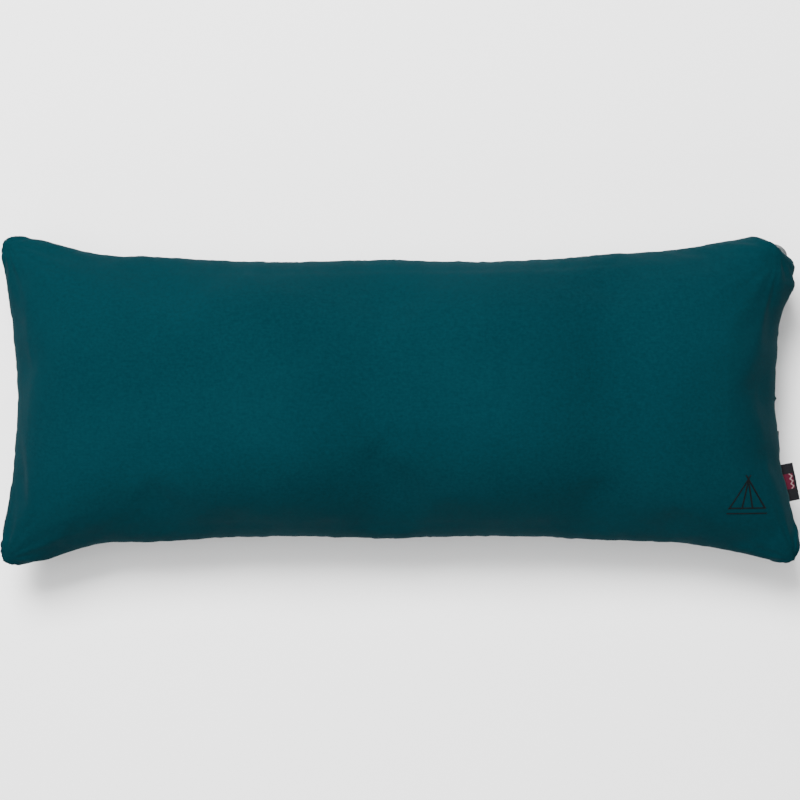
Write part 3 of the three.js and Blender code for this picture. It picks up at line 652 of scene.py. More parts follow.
class Finish:
    """A node material with short calls for its nodes and links."""

    def __init__(self, name, **constants):
        self.material = bpy.data.materials.new(name)
        self.material.use_nodes = True
        self.tree = self.material.node_tree
        self.shader = self.tree.nodes["Principled BSDF"]
        for socket, value in constants.items():
            self.shader.inputs[socket.replace("_", " ")].default_value = value

    def node(self, kind, inputs=None, **settings):
        node = self.tree.nodes.new(kind)
        for key, value in settings.items():
            setattr(node, key, value)
        for key, value in (inputs or {}).items():
            if isinstance(value, bpy.types.NodeSocket):
                self.tree.links.new(value, node.inputs[key])
            else:
                node.inputs[key].default_value = value
        return node

    def sums(self, operation, first, second=0.0, third=0.0):
        inputs = {0: first, 1: second, 2: third}
        return self.node("ShaderNodeMath", inputs, operation=operation).outputs[0]

    def place(self):
        return self.node("ShaderNodeTexCoord").outputs["Object"]

    def noise(self, vector, scale, detail=3.0, roughness=0.5):
        inputs = {"Vector": vector, "Scale": scale, "Detail": detail, "Roughness": roughness}
        return self.node("ShaderNodeTexNoise", inputs).outputs["Fac"]

    def blend(self, factor, first, second):
        inputs = {0: factor, 6: first, 7: second}
        return self.node("ShaderNodeMix", inputs, data_type="RGBA").outputs[2]

    def span(self, value, low, high, to_low=0.0, to_high=1.0):
        inputs = {"Value": value, 1: low, 2: high, 3: to_low, 4: to_high}
        return self.node("ShaderNodeMapRange", inputs).outputs[0]

    def bump(self, height, distance, strength):
        inputs = {"Height": height, "Distance": distance, "Strength": strength}
        return self.node("ShaderNodeBump", inputs).outputs["Normal"]

    def moved(self, vector, **changes):
        """A pattern's place centred, turned or stretched."""
        return self.node("ShaderNodeMapping", {"Vector": vector, **changes}).outputs[0]

    def woven(self, first, second, first_turn, second_turn):
        """Two crossed waves as one weave from 0 to 1."""
        picks = self.sums("SINE", self.sums("MULTIPLY", first, first_turn))
        ribs = self.sums("SINE", self.sums("MULTIPLY", second, second_turn))
        return self.sums("MULTIPLY_ADD", self.sums("MULTIPLY", picks, ribs), 0.5, 0.5)

    def wear(self, color=None, roughness=None, normal=None):
        for socket, value in (("Base Color", color), ("Roughness", roughness), ("Normal", normal)):
            if value is not None:
                self.tree.links.new(value, self.shader.inputs[socket])
        return self.material


def rgb(red, green, blue):
    return (red, green, blue, 1.0)


def brushed_cloth(name, deep, light, pile=1.0):
    """Soft brushed polyester: a fine weave under a short pile, with a velvety sheen."""
    f = Finish(
        name,
        Roughness=0.92,
        Specular_IOR_Level=0.04,
        Specular_Tint=rgb(0.35, 0.85, 0.95),
        Sheen_Weight=0.035,
        Sheen_Roughness=0.25,
        Sheen_Tint=rgb(0.4, 0.75, 0.8),
    )
    uv = f.node("ShaderNodeUVMap", uv_map="cloth").outputs["UV"]
    parts = f.node("ShaderNodeSeparateXYZ", {0: uv})
    pitch = 2 * math.pi / (0.85 * MM)
    warp = f.sums("SINE", f.sums("MULTIPLY", parts.outputs[0], pitch))
    weft = f.sums("SINE", f.sums("MULTIPLY", parts.outputs[1], pitch))
    weave = f.sums("MULTIPLY", warp, weft)
    place = f.place()
    pile_fine = f.noise(place, 2600, 2, 0.6)
    pile_clump = f.noise(place, 520, 3, 0.55)
    brushed = f.noise(f.moved(uv, Scale=(260, 900, 1)), 1.0, 3, 0.6)
    broad = f.noise(place, 11, 3, 0.5)
    tone = f.sums("MULTIPLY_ADD", pile_clump, 0.45, f.sums("MULTIPLY", brushed, 0.3))
    tone = f.sums("MULTIPLY_ADD", broad, 0.35, tone)
    tone = f.sums("MULTIPLY_ADD", weave, 0.035, tone)
    color = f.blend(f.span(tone, 0.32, 0.78), deep, light)
    height = f.sums("MULTIPLY_ADD", weave, 0.22 * pile, f.sums("MULTIPLY", pile_fine, 0.5))
    height = f.sums("MULTIPLY_ADD", pile_clump, 0.6, height)
    normal = f.bump(height, 0.16 * MM, 0.55)
    rough = f.span(brushed, 0.3, 0.7, 0.86, 0.97)
    return f.wear(color, rough, normal)


def laminate(name):
    """Coated woven film of the air bladder: satin, with a fine woven ground showing through."""
    f = Finish(name, Roughness=0.45, Specular_IOR_Level=0.4, Coat_Weight=0.12, Coat_Roughness=0.35)
    place = f.place()
    fine = f.node("ShaderNodeTexVoronoi", {"Vector": place, "Scale": 1500}).outputs["Distance"]
    broad = f.noise(place, 18, 4, 0.55)
    color = f.blend(f.span(broad, 0.3, 0.7), rgb(0.012, 0.014, 0.016), rgb(0.02, 0.023, 0.026))
    rough = f.span(broad, 0.3, 0.7, 0.38, 0.55)
    return f.wear(color, rough, f.bump(fine, 0.05 * MM, 0.4))


def moulded(name, dark, light, roughness, grain=0.3):
    """Moulded plastic or silicone with a faint mould texture and slight cloudiness."""
    f = Finish(name, Roughness=roughness, Specular_IOR_Level=0.4)
    place = f.place()
    cloud = f.noise(place, 160, 3, 0.5)
    fine = f.noise(place, 4200, 2, 0.5)
    color = f.blend(f.span(cloud, 0.35, 0.65), dark, light)
    rough = f.span(cloud, 0.3, 0.7, roughness - 0.05, roughness + 0.07)
    return f.wear(color, rough, f.bump(fine, 0.03 * MM, grain))


def lacquered_metal(name):
    """Die-cast zip metal under dark lacquer, worn lighter where it rubs."""
    f = Finish(name, Roughness=0.38, Metallic=0.75, Coat_Weight=0.3, Coat_Roughness=0.2)
    place = f.place()
    cloud = f.noise(place, 420, 4, 0.6)
    lines = f.noise(f.moved(place, Scale=(900, 140, 900)), 1.0, 2, 0.5)
    color = f.blend(f.span(cloud, 0.5, 0.72), rgb(0.016, 0.02, 0.022), rgb(0.06, 0.068, 0.072))
    rough = f.span(lines, 0.3, 0.7, 0.3, 0.5)
    return f.wear(color, rough, f.bump(lines, 0.02 * MM, 0.5))


def woven_tape(name, deep, light, pitch):
    """Narrow woven tape: ribs along its length crossed by fine picks."""
    f = Finish(name, Roughness=0.85, Specular_IOR_Level=0.12, Sheen_Weight=0.04, Sheen_Roughness=0.4)
    place = f.place()
    parts = f.node("ShaderNodeSeparateXYZ", {0: place})
    turn = 2 * math.pi / pitch
    weave = f.woven(parts.outputs[1], f.sums("ADD", parts.outputs[2], parts.outputs[0]), turn, turn)
    cloud = f.noise(place, 300, 3, 0.5)
    color = f.blend(f.sums("MULTIPLY_ADD", weave, 0.6, f.sums("MULTIPLY", cloud, 0.4)), deep, light)
    return f.wear(color, None, f.bump(weave, 0.08 * MM, 0.8))


def thread(name, deep, light):
    """Twisted sewing thread."""
    f = Finish(name, Roughness=0.75, Specular_IOR_Level=0.1, Sheen_Weight=0.01, Sheen_Roughness=0.4)
    place = f.place()
    twist = f.noise(place, 2400, 2, 0.5)
    return f.wear(f.blend(f.span(twist, 0.35, 0.65), deep, light), None, f.bump(twist, 0.05 * MM, 0.6))


def label_weave(name, middle, tilt):
    """Black woven label with a burgundy block and one pale zigzag, placed along the label's own length."""
    f = Finish(name, Roughness=0.8, Specular_IOR_Level=0.05, Sheen_Weight=0.006, Sheen_Roughness=0.4)
    centred = f.moved(f.place(), Location=tuple(-v for v in middle))
    turned = f.moved(centred, Rotation=(0, 0, -math.radians(tilt)))
    parts = f.node("ShaderNodeSeparateXYZ", {0: turned})
    out, along = parts.outputs[0], parts.outputs[1]
    turn = 2 * math.pi / (0.42 * MM)
    weave = f.woven(along, out, turn, turn * 1.6)
    block = f.sums("LESS_THAN", f.sums("ABSOLUTE", f.sums("ADD", along, -0.6 * MM)), 4.9 * MM)
    zigzag = f.sums("PINGPONG", f.sums("ADD", along, 4.3 * MM), 1.6 * MM)
    line = f.sums("SUBTRACT", f.sums("ADD", out, -2.2 * MM), zigzag)
    line = f.sums("LESS_THAN", f.sums("ABSOLUTE", line), 0.42 * MM)
    line = f.sums("MULTIPLY", line, block)
    block = f.sums("MULTIPLY", block, f.sums("LESS_THAN", out, 4.3 * MM))
    black = f.blend(weave, rgb(0.003, 0.003, 0.004), rgb(0.011, 0.011, 0.013))
    burgundy = f.blend(weave, rgb(0.032, 0.0035, 0.009), rgb(0.062, 0.008, 0.018))
    pale = f.blend(weave, rgb(0.13, 0.09, 0.09), rgb(0.22, 0.16, 0.16))
    color = f.blend(line, f.blend(block, black, burgundy), pale)
    return f.wear(color, None, f.bump(weave, 0.06 * MM, 0.8))


DEEP_TEAL = rgb(0.0008, 0.0126, 0.0168)
LIGHT_TEAL = rgb(0.0019, 0.0218, 0.0285)
front_finish = brushed_cloth("brushed_teal_front", DEEP_TEAL, LIGHT_TEAL)
back_finish = brushed_cloth("brushed_teal_back", DEEP_TEAL, LIGHT_TEAL, pile=1.2)
film_finish = laminate("bladder_laminate")
valve_finish = moulded("valve_soft_grey", rgb(0.07, 0.075, 0.078), rgb(0.088, 0.093, 0.096), 0.5)
silicone_finish = moulded("flap_silicone", rgb(0.14, 0.15, 0.155), rgb(0.18, 0.19, 0.195), 0.4, 0.15)
metal_finish = lacquered_metal("zip_lacquered_metal")
coil_finish = moulded("zip_nylon", rgb(0.002, 0.013, 0.016), rgb(0.004, 0.02, 0.025), 0.36, 0.15)
tape_finish = woven_tape("zip_tape_weave", rgb(0.0015, 0.01, 0.013), rgb(0.004, 0.021, 0.027), 0.55 * MM)
binding_finish = woven_tape("binding_weave", rgb(0.0015, 0.014, 0.019), rgb(0.004, 0.026, 0.034), 0.45 * MM)
seam_thread = thread("seam_thread", rgb(0.0015, 0.016, 0.021), rgb(0.004, 0.03, 0.038))
mark_thread = thread("mark_thread", rgb(0.0004, 0.001, 0.0014), rgb(0.001, 0.0024, 0.003))


def finished(piece, material, body="pillow", nodes=()):
    """Gives a piece its material and slot, sets it on its body, and stands it in for its CAD nodes."""
    piece.data.materials.clear()
    piece.data.materials.append(material)
    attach(piece, body)
    if nodes:
        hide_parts(*nodes)
    return piece


# ---- Cover -----------------------------------------------

GRID_A, GRID_B = 250, 100
fine_a, fine_b = graded(GRID_A), graded(GRID_B)
swell = simulated_swell(100, 42)


def propped_by_valve(points):
    """The valve's flange holds the cloth round it up to a flat ring."""
    place = np.array(VALVE_PLACE)
    local = (points - place[:3, 3]) @ place[:3, :3]
    away = np.hypot(local[..., 0], local[..., 1])
    below = 1 / (1 + np.exp(local[..., 1] / (3 * MM)))
    near = smoothed(np.clip(1 - (away - 15.2 * MM) / (5 * MM + 19 * MM * below), 0, 1))
    seam = smoothed(np.clip(np.abs(points[..., 2] - SEAM_HEIGHT) / (9 * MM), 0, 1))
    outside = (local[..., 2] > -40 * MM) & (points[..., 0] > 0.15) & (points[..., 1] > 0)
    soft = 0.8 * MM
    short = soft * np.logaddexp(0, (PROP_HEIGHT - local[..., 2]) / soft)
    move = short * near * seam * outside
    return points + place[:3, 2] * move[..., None]


def cover_panel(name, node, side, material, seed):
    bulge = FRONT_BULGE if side > 0 else BACK_BULGE
    points, full = panel_points(side, fine_a, fine_b, bulge, COVER_VALLEY)
    if swell is not None:
        field = finer(swell[2] if side > 0 else swell[3], swell[0], swell[1], fine_a, fine_b)
        from_spot = np.hypot(points[..., 0] - STIFF_SPOT[0], points[..., 1] - STIFF_SPOT[1])
        stiff = np.exp(-((from_spot / STIFF_REACH) ** 2))
        share = 0.8 * np.clip(full * 2.5, 0, 1) * (1 - 0.9 * stiff)
        points = points + capped(field, SWELL_MOST) * share[..., None]
    if side < 0:
        points = propped_by_valve(points)
    points = points + sewn_details(points, grid_normals(points, side), seed)
    points[..., 2] = np.maximum(points[..., 2], 0.05 * MM)
    piece = cloth_shell(name, points, grid_normals(points, side), side, CLOTH, SEAM_ALLOWANCE)
    cloth_map(piece, len(fine_a), len(fine_b))
    surface = surface_of(piece)
    if side < 0:
        cut_round(piece, OPENING_RADIUS, -3 * MM, 20 * MM)
    smooth_shaded(piece)
    finished(piece, material, nodes=[node])
    return piece, surface


front_cover, front_surface = cover_panel("front_cover", "cover_front_panel", 1, front_finish, 11)
back_cover, back_surface = cover_panel("back_cover", "cover_back_panel", -1, back_finish, 23)


# ---- Air bladder inside the cover ------------------------


def bladder_skin(name, node, side):
    """One smooth skin of the bladder with its flat weld standing out round it."""
    angles_a, angles_b = graded(130, ()), graded(54, ())
    bulge = (FRONT_BULGE if side > 0 else BACK_BULGE) - BLADDER_GAP
    shape = {"inset": BLADDER_INSET, "rise": 0.8 * MM, "floor": BLADDER_FLOOR}
    points, _ = panel_points(side, angles_a, angles_b, bulge, BLADDER_VALLEY, **shape)
    piece = cloth_shell(name, points, grid_normals(points, side), side, FILM, -3.5 * MM)
    if side < 0:
        cut_round(piece, FLANGE_RADIUS + 0.4 * MM, -20 * MM, 20 * MM)
    smooth_shaded(piece)
    finished(piece, film_finish, nodes=[node])
    return piece


bladder_skin("bladder_front", "bladder_front_skin", 1)
bladder_skin("bladder_back", "bladder_back_skin", -1)

# ---- Valve -----------------------------------------------


def strap(low, high):
    """A moulded hinge strap in the valve's own millimetres."""
    return bevelled_block(low, high, ease=0.32)


def valve_piece(name, parts, material, body, node):
    piece = smooth_shaded(joined(name, parts))
    piece.data.transform(VALVE_PLACE)
    return finished(piece, material, body, [node])


def turned_part(profile, ease, segments=72, closed=True):
    return turned_mesh("part", eased(profile, ease, closed), segments)


def ribbed_edge(radius, low, high, count):
    """Small grip ribs round a moulding's edge."""
    ribs = []
    for k in range(count):
        angle = 2 * math.pi * (k + 0.5) / count
        if abs(math.degrees(angle) - 270) < 34:
            continue
        rib = bevelled_block((-0.28, -0.3, low), (0.28, 0.22, high), ease=0.14, segments=2)
        turn = Matrix.Rotation(angle - math.pi / 2, 4, "Z")
        rib.transform(turn @ Matrix.Translation((0, radius * MM, 0)))
        ribs.append(rib)
    return ribs


base_profile = [(7.8, -1.2), (14.2, -1.2), (14.2, 0), (10.2, 0), (10.2, 5.5), (8.8, 5.5)]
weld_ring = [(12.1, -0.05), (13.9, -0.05), (13.9, 0.22), (12.1, 0.22)]
valve_piece(
    "valve_socket",
    [
        turned_part(base_profile, 0.45),
        turned_part(weld_ring, 0.12),
        strap((-2.5, -12.05, 3.1), (2.5, -9.75, 4.9)),
    ],
    valve_finish,
    "pillow",
    "valve_base",
)
plug_profile = [(4, -0.5), (7.15, -0.5), (8.35, 5.8), (10.2, 5.8), (10.2, 7.3)]
plug_profile += [(6, 7.3), (6, 10.1), (4, 10.1)]
valve_piece(
    "valve_stopper",
    [
        turned_part(plug_profile, 0.42),
        strap((-2.5, -12.05, 5.8), (2.5, -9.8, 7.0)),
        strap((-2.5, -8.85, 6.9), (2.5, -5.7, 9.5)),
    ]
    + ribbed_edge(10.05, 5.95, 7.15, 36),
    valve_finish,
    "plug",
    "valve_plug",
)
cap_profile = [(0, 8.8), (3.35, 8.8), (3.6, 10.4), (7, 10.4), (7, 12.2), (6.2, 12.75), (0, 12.9)]
valve_piece(
    "valve_lid",
    [turned_part(cap_profile, 0.5, closed=False), strap((-2.5, -8.85, 10.4), (2.5, -6.5, 11.6))]
    + ribbed_edge(6.85, 10.6, 11.9, 28),
    valve_finish,
    "cap",
    "valve_cap",
)
flap_profile = [(0, -1.6), (5.2, -1.6), (5.2, -0.8), (0, -0.8)]
valve_piece(
    "valve_one_way_flap",
    [turned_part(flap_profile, 0.3, 48, closed=False), strap((3.9, -1.6, -1.58), (6.0, 1.6, -0.82))],
    silicone_finish,
    "flap",
    "valve_flap",
)


def swept_ring(name, centres, outs, ups, half_width, half_height, count=14):
    """A closed band of rounded section along a closed line, with its own outward and upward directions."""
    turns = np.linspace(0, 2 * math.pi, count, endpoint=False)
    wide = np.sign(np.cos(turns)) * np.abs(np.cos(turns)) ** 0.7 * half_width
    high = np.sign(np.sin(turns)) * np.abs(np.sin(turns)) ** 0.7 * half_height
    verts = centres[:, None] + outs[:, None] * wide[None, :, None] + ups[:, None] * high[None, :, None]
    return mesh_object(name, verts.reshape(-1, 3), tube_faces(len(centres), count, True))


def around_opening(radius, steps):
    """Where a ring about the valve's axis meets the back panel, with outward and surface directions."""
    place = np.array(VALVE_PLACE)
    side, up, axis, centre = place[:3, 0], place[:3, 1], place[:3, 2], place[:3, 3]
    turns = np.linspace(0, 2 * math.pi, steps, endpoint=False)
    outs = np.cos(turns)[:, None] * side + np.sin(turns)[:, None] * up
    heights = []
    normals = []
    reach, plain = 30 * MM, 3 * MM
    for out in outs:
        start = Vector(centre + out * radius + axis * reach)
        hit, normal, _, gap = back_surface.ray_cast(start, Vector(-axis), 2 * reach)
        heights.append(reach - gap if hit is not None else plain)
        normals.append(np.array(normal) if hit is not None else axis)
    heights = calmed(np.array(heights), 4)
    points = centre + outs * radius + axis * heights[:, None]
    return points, outs, np.array(normals), axis


ring_points, ring_outs, ring_normals, valve_axis = around_opening(OPENING_RADIUS - 0.75 * MM, 120)
slopes = unit(ring_outs - ring_normals * np.sum(ring_outs * ring_normals, 1)[:, None])
ring_points = ring_points - ring_normals * 0.25 * MM
binding = swept_ring("opening_binding", ring_points, slopes, ring_normals, 1.35 * MM, 0.85 * MM)
finished(smooth_shaded(binding), binding_finish, nodes=["valve_opening_binding"])

# ---- Stitches and coils ----------------------------------


def stitch_tree():
    """Geometry nodes: rounded stitches or teeth laid end to end along a line."""
    tree = bpy.data.node_groups.new("stitches_along_a_line", "GeometryNodeTree")
    face = tree.interface
    names = {}
    kinds = {"Line": "Geometry", "Pitch": "Float", "Half size": "Vector", "Thread": "Material"}
    for title, kind in kinds.items():
        socket = face.new_socket(name=title, in_out="INPUT", socket_type="NodeSocket" + kind)
        names[title] = socket.identifier
    face.new_socket(name="Stitches", in_out="OUTPUT", socket_type="NodeSocketGeometry")
    made = {
        "start": "NodeGroupInput",
        "line": "GeometryNodeMeshToCurve",
        "spaced": "GeometryNodeResampleCurve",
        "tangent": "GeometryNodeInputTangent",
        "aligned": "FunctionNodeAlignRotationToVector",
        "ball": "GeometryNodeMeshUVSphere",
        "sized": "GeometryNodeTransform",
        "placed": "GeometryNodeInstanceOnPoints",
        "real": "GeometryNodeRealizeInstances",
        "smooth": "GeometryNodeSetShadeSmooth",
        "dyed": "GeometryNodeSetMaterial",
        "end": "NodeGroupOutput",
    }
    made = {key: tree.nodes.new(kind) for key, kind in made.items()}
    made["spaced"].mode = "LENGTH"
    made["aligned"].axis = "X"
    made["ball"].inputs["Segments"].default_value = 8
    made["ball"].inputs["Rings"].default_value = 6
    for giver, out, taker, into in (
        ("start", "Line", "line", 0),
        ("line", 0, "spaced", "Curve"),
        ("start", "Pitch", "spaced", "Length"),
        ("tangent", 0, "aligned", "Vector"),
        ("ball", 0, "sized", "Geometry"),
        ("start", "Half size", "sized", "Scale"),
        ("spaced", 0, "placed", "Points"),
        ("sized", 0, "placed", "Instance"),
        ("aligned", 0, "placed", "Rotation"),
        ("placed", 0, "real", 0),
        ("real", 0, "smooth", 0),
        ("smooth", 0, "dyed", "Geometry"),
        ("start", "Thread", "dyed", "Material"),
        ("dyed", 0, "end", 0),
    ):
        tree.links.new(made[giver].outputs[out], made[taker].inputs[into])
    return tree, names


STITCHES, STITCH_INPUTS = stitch_tree()


def stitched(name, lines, pitch, half_size, material, nodes=()):
    """Stitches along lines, each an array of points and whether it closes on itself."""
    verts, edges = [], []
    for line, closed in lines:
        first = len(verts)
        verts += list(line)
        edges += [(first + k, first + k + 1) for k in range(len(line) - 1)]
        if closed:
            edges.append((len(verts) - 1, first))
    piece = mesh_object(name, verts, [], edges)
    rows = piece.modifiers.new("stitches", "NODES")
    rows.node_group = STITCHES
    rows[STITCH_INPUTS["Pitch"]] = pitch
    rows[STITCH_INPUTS["Half size"]] = half_size
    rows[STITCH_INPUTS["Thread"]] = material
    apply_modifiers(piece)
    return finished(piece, material, nodes=nodes)


# ---- Zip -------------------------------------------------


def zip_tape(name, side, node):
    """One tape: its woven face behind the coil, then turned in against the panel's own edge."""
    section = [(0.7, 235.45), (3.1, 235.45), (3.42, 235.3), (3.58, 234.9), (3.62, 229.5)]
    path = np.array(section)
    ahead = np.gradient(path, axis=0)
    ahead /= np.linalg.norm(ahead, axis=1)[:, None]
    across = np.stack([ahead[:, 1], -ahead[:, 0]], 1) * 0.2
    ring = np.concatenate([path - across, (path + across)[::-1]])
    steps = np.linspace(ZIP_BOTTOM - STOP_LENGTH, ZIP_TOP + STOP_LENGTH, 60)
    rings = [[(x * MM, y, SEAM_HEIGHT + side * z * MM) for z, x in ring] for y in steps]
    finished(flat_band(name, np.array(rings)), tape_finish, nodes=[node])


def zip_coil(name, side, node):
    """One row of fine coil teeth, half a pitch on from the other row."""
    low = ZIP_BOTTOM + (0.4 if side > 0 else 1.05) * MM
    high = ZIP_TOP - 0.4 * MM
    line = [(236.85 * MM, y, SEAM_HEIGHT + side * 1.02 * MM) for y in (low, high)]
    tooth = (0.6 * MM, 0.66 * MM, 0.75 * MM)
    stitched(name, [(line, False)], 1.3 * MM, tooth, coil_finish, [node])
    cord = [(236.6 * MM, y, SEAM_HEIGHT + side * 1.75 * MM) for y in (low, high)]
    twist = (0.6 * MM, 0.34 * MM, 0.34 * MM)
    stitched(name + "_cord", [(cord, False)], 0.9 * MM, twist, seam_thread)


zip_tape("zip_tape_upper", 1, "zip_tape_front")
zip_tape("zip_tape_lower", -1, "zip_tape_back")
zip_coil("zip_teeth_upper", 1, "zip_coil_front")
zip_coil("zip_teeth_lower", -1, "zip_coil_back")


def zip_stop(name, start, node):
    work = bevelled_block((236.13, start, 49.0), (238.2, start + 2.1, 53.0), ease=0.45)
    piece = smooth_shaded(joined(name, [work]))
    finished(piece, metal_finish, nodes=[node])


zip_stop("zip_stop_lower", -34.4, "zip_bottom_stop")
zip_stop("zip_stop_upper", 42.3, "zip_top_stop")


def slider_piece():
    """The slider: two rounded plates, the post between the coils and the bridge for the pull."""
    middle, seam = SLIDER_MIDDLE, SEAM_HEIGHT / MM
    y0, y1 = middle - 3.5, middle + 3.5
    parts = []
    for x in (237.93, 233.93):
        parts.append(bevelled_block((x, y0, seam - 3.3), (x + 1, y1, seam + 3.3), ease=0.42, segments=4))
    post = ((234.43, y0 + 1, seam - 0.25), (238.43, y0 + 2.5, seam + 0.25))
    parts.append(bevelled_block(*post, ease=0.1, segments=2))
    for x, low, high, ease in ((238.43, -2.4, -1.6, 0.25), (238.43, 1.6, 2.4, 0.25), (240.63, -2.4, 2.4, 0.3)):
        parts.append(bevelled_block((x, middle + low, seam - 1.1), (241.43, middle + high, seam + 1.1), ease))
    piece = smooth_shaded(joined("zip_slider_body", parts))
    finished(piece, metal_finish, "slider", ["zip_slider"])


def pull_piece():
    """The pull: a flat tab with a rounded end and an eye that the bridge passes through."""
    half, eye, thick = 2.7, 1.4, 0.55
    bar, end, hole_end = 0.55, -9.45, -3.5
    turns = np.linspace(math.pi / 2, 3 * math.pi / 2, 21)
    outer = [(bar, -half), (bar, half)]
    outer += [(end + half + half * math.cos(t), half * math.sin(t)) for t in turns]
    work = bmesh.new()
    rings = []
    for x, grow in ((-thick, 0.16), (-thick + 0.16, 0), (thick - 0.16, 0), (thick, 0.16)):
        rings.append([pull_vert(work, y, z, x, grow, (-3.2, 0)) for y, z in outer])
    inner = eye_ring(outer, bar, hole_end, eye)
    holes = []
    for x, grow in ((-thick, -0.14), (-thick + 0.14, 0), (thick - 0.14, 0), (thick, -0.14)):
        holes.append([pull_vert(work, y, z, x, grow, (-2, 0)) for y, z in inner])
    count = len(outer)
    for k in range(count):
        after = (k + 1) % count
        for a, b in zip(rings[:-1], rings[1:]):
            work.faces.new((a[k], a[after], b[after], b[k]))
        for a, b in zip(holes[:-1], holes[1:]):
            work.faces.new((a[k], b[k], b[after], a[after]))
        work.faces.new((rings[0][k], holes[0][k], holes[0][after], rings[0][after]))
        work.faces.new((rings[-1][k], rings[-1][after], holes[-1][after], holes[-1][k]))
    bmesh.ops.recalc_face_normals(work, faces=work.faces)
    piece = smooth_shaded(joined("zip_pull_tab", [work]))
    finished(piece, metal_finish, "pull", ["zip_pull"])


def pull_vert(work, y, z, x, inward, centre):
    """A corner of the pull, moved a little towards a centre to ease its edge."""
    dy, dz = centre[0] - y, centre[1] - z
    size = math.hypot(dy, dz) or 1
    y, z = y + dy / size * inward, z + dz / size * inward
    return work.verts.new(((PULL_PIN_X + x) * MM, (SLIDER_MIDDLE + y) * MM, SEAM_HEIGHT + z * MM))


def eye_ring(outer, bar, hole_end, eye):
    """The eye's edge, one point for each point of the outline, seen from the eye's middle."""
    middle = (-bar + hole_end) / 2
    wide = (-bar - hole_end) / 2
    points = []
    for y, z in outer:
        dy, dz = y - middle, z
        share = max(abs(dy) / wide, abs(dz) / eye)
        points.append((middle + dy / share, dz / share))
    return points


slider_piece()
pull_piece()

# ---- Label and embroidered mark --------------------------

LABEL_SEAM = Vector((246.81, -52.72, 51)) * MM


def folded_label():
    """A woven label folded over at its outer end, a little wavy, with its cut ends in the seam."""
    root, fold, outside, inside = -3.2, 5.5, 0.44, 0.1
    turns = np.linspace(math.pi / 2, -math.pi / 2, 9)
    outer = [(x, outside) for x in np.linspace(root, fold, 12)]
    outer += [(fold + outside * math.cos(t), outside * math.sin(t)) for t in turns[1:-1]]
    outer += [(x, -outside) for x in np.linspace(fold, root, 12)]
    shrink = inside / outside
    inner = [(x, math.copysign(inside, z) if x < fold - 0.05 else shrink * z) for x, z in outer]
    inner = [(min(x, fold + shrink * (x - fold)), z) for x, z in inner]
    half = LABEL_LENGTH / 2 / MM
    rings = []
    for y in np.linspace(-half, half, 60):
        ring = []
        for x, z in outer + inner[::-1]:
            out = max(0, x) / 6
            wave = out * out * (0.5 * math.sin(y * 0.3 + 0.6) + 0.25 * math.sin(y * 0.75))
            curl = out * out * 0.35 * (abs(y) / half) ** 3
            ring.append((x - 0.12 * abs(y) / half * out, y, z + wave + curl))
        rings.append(ring)
    piece = flat_band("folded_label", np.array(rings) * MM)
    turn = Matrix.Rotation(math.radians(LABEL_TILT), 4, "Z")
    piece.data.transform(Matrix.Translation(LABEL_SEAM) @ turn)
    weave = label_weave("label_weave", LABEL_SEAM, LABEL_TILT)
    finished(smooth_shaded(piece), weave, nodes=["side_label"])


folded_label()


def on_front(x, y, lift):
    """The point of the front panel's outer face straight below, lifted a little."""
    hit, normal, _, _ = front_surface.ray_cast(Vector((x, y, 0.3)), Vector((0, 0, -1)))
    return np.array(hit + normal * lift)


def drawn_line(corners, centre, lift, step=0.4 * MM):
    """A line through corners in millimetres, laid on the front panel."""
    run = np.array(corners, dtype=float) * MM
    lengths = np.concatenate([[0], np.cumsum(np.hypot(*np.diff(run, axis=0).T))])
    at = np.linspace(0, lengths[-1], max(2, int(lengths[-1] / step)))
    x = np.interp(at, lengths, run[:, 0]) + centre[0]
    y = np.interp(at, lengths, run[:, 1]) + centre[1]
    return np.array([on_front(px, py, lift) for px, py in zip(x, y)]), False


def embroidered_mark():
    """A small plain tent outline in dark thread near the zipped end."""
    centre = (216.6 * MM, -58.6 * MM)
    strokes = [
        [(-11.5, -9), (1.2, 11.2)],
        [(11.5, -9), (-1.2, 11.2)],
        [(-11.5, -9), (11.5, -9)],
        [(0, 8.6), (-3.4, -9)],
        [(0, 8.6), (3.4, -9)],
        [(-12.4, -12.4), (12.4, -12.4)],
    ]
    lift = 0.12 * MM
    lines = [drawn_line(s, centre, lift) for s in strokes]
    shifted = [drawn_line([(x + 0.45, y + 0.2) for x, y in s], centre, lift) for s in strokes]
    stitch = (0.75 * MM, 0.3 * MM, 0.3 * MM)
    stitched("embroidered_tent", lines + shifted, 1.15 * MM, stitch, mark_thread)


embroidered_mark()


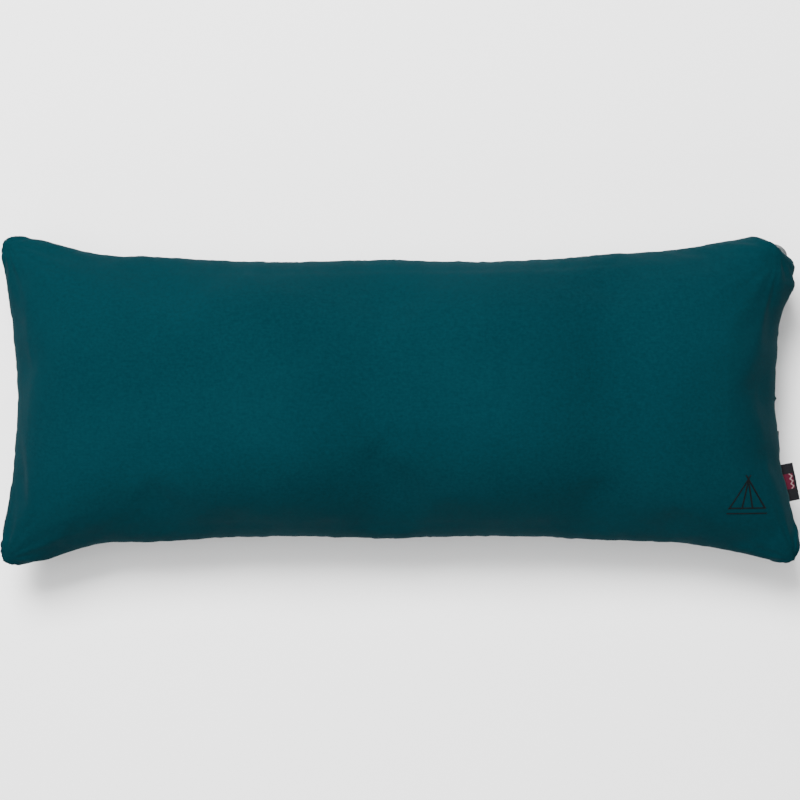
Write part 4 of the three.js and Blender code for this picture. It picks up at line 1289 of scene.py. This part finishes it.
def lip_stitching():
    """Topstitching beside the zip's lips on both panels."""
    lines = []
    for side, surface in ((1, front_surface), (-1, back_surface)):
        points = []
        for y in np.linspace(ZIP_BOTTOM, ZIP_TOP, 80):
            start = Vector((0.3, y, SEAM_HEIGHT + side * (ZIP_LIP + 3.2 * MM)))
            hit, normal, _, _ = surface.ray_cast(start, Vector((-1, 0, 0)))
            points.append(np.array(hit + normal * 0.02 * MM))
        lines.append((np.array(points), False))
    stitch = (0.95 * MM, 0.24 * MM, 0.24 * MM)
    stitched("zip_topstitching", lines, 2.6 * MM, stitch, seam_thread)


lip_stitching()
ring_points, ring_outs, ring_normals, _ = around_opening(OPENING_RADIUS + 0.2 * MM, 160)
ring = [(ring_points + ring_normals * 0.35 * MM, True)]
stitch = (0.8 * MM, 0.2 * MM, 0.2 * MM)
stitched("binding_stitching", ring, 2.2 * MM, stitch, seam_thread)

# ---- Finishes on the frame's own pieces ------------------

for web in ("web_left", "web_middle", "web_right"):
    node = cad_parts[web]
    node.data.materials.clear()
    node.data.materials.append(film_finish)

# ---- Camera, floor and light -----------------------------


def add_stage():
    floor = mesh_object("floor", [(-4, -4, 0), (4, -4, 0), (4, 4, 0), (-4, 4, 0)], [(0, 1, 2, 3)])
    floor.location.z = -0.2 * MM
    f = Finish("pale_floor", Roughness=0.9, Specular_IOR_Level=0.1)
    f.shader.inputs["Base Color"].default_value = rgb(0.94, 0.94, 0.94)
    floor.data.materials.append(f.material)


def add_area(name, place, size, power, aim=(0, 0, 0.04)):
    light = bpy.data.lights.new(name, "AREA")
    light.size = size
    light.energy = power
    lamp = linked(name, light)
    lamp.location = place
    lamp.rotation_euler = (Vector(aim) - Vector(place)).to_track_quat("-Z", "Y").to_euler()


def add_camera():
    lens = bpy.data.cameras.new("camera")
    lens.lens = 100
    lens.sensor_width = 36
    camera = linked("camera", lens)
    camera.location = (0, 0, SEAM_HEIGHT + LENGTH * lens.lens / lens.sensor_width)
    bpy.context.scene.camera = camera


add_stage()
add_area("key", (-0.4, 0.95, 1.8), 0.8, 118)
add_area("overhead", (-0.45, 0.3, 2.7), 2.2, 66)
add_area("fill", (-0.1, -1.5, 0.9), 1.2, 14)
world = bpy.data.worlds.new("studio")
world.use_nodes = True
sky = world.node_tree.nodes["Background"].inputs
sky["Color"].default_value = rgb(1, 1, 1)
sky["Strength"].default_value = 0.24
bpy.context.scene.world = world
add_camera()
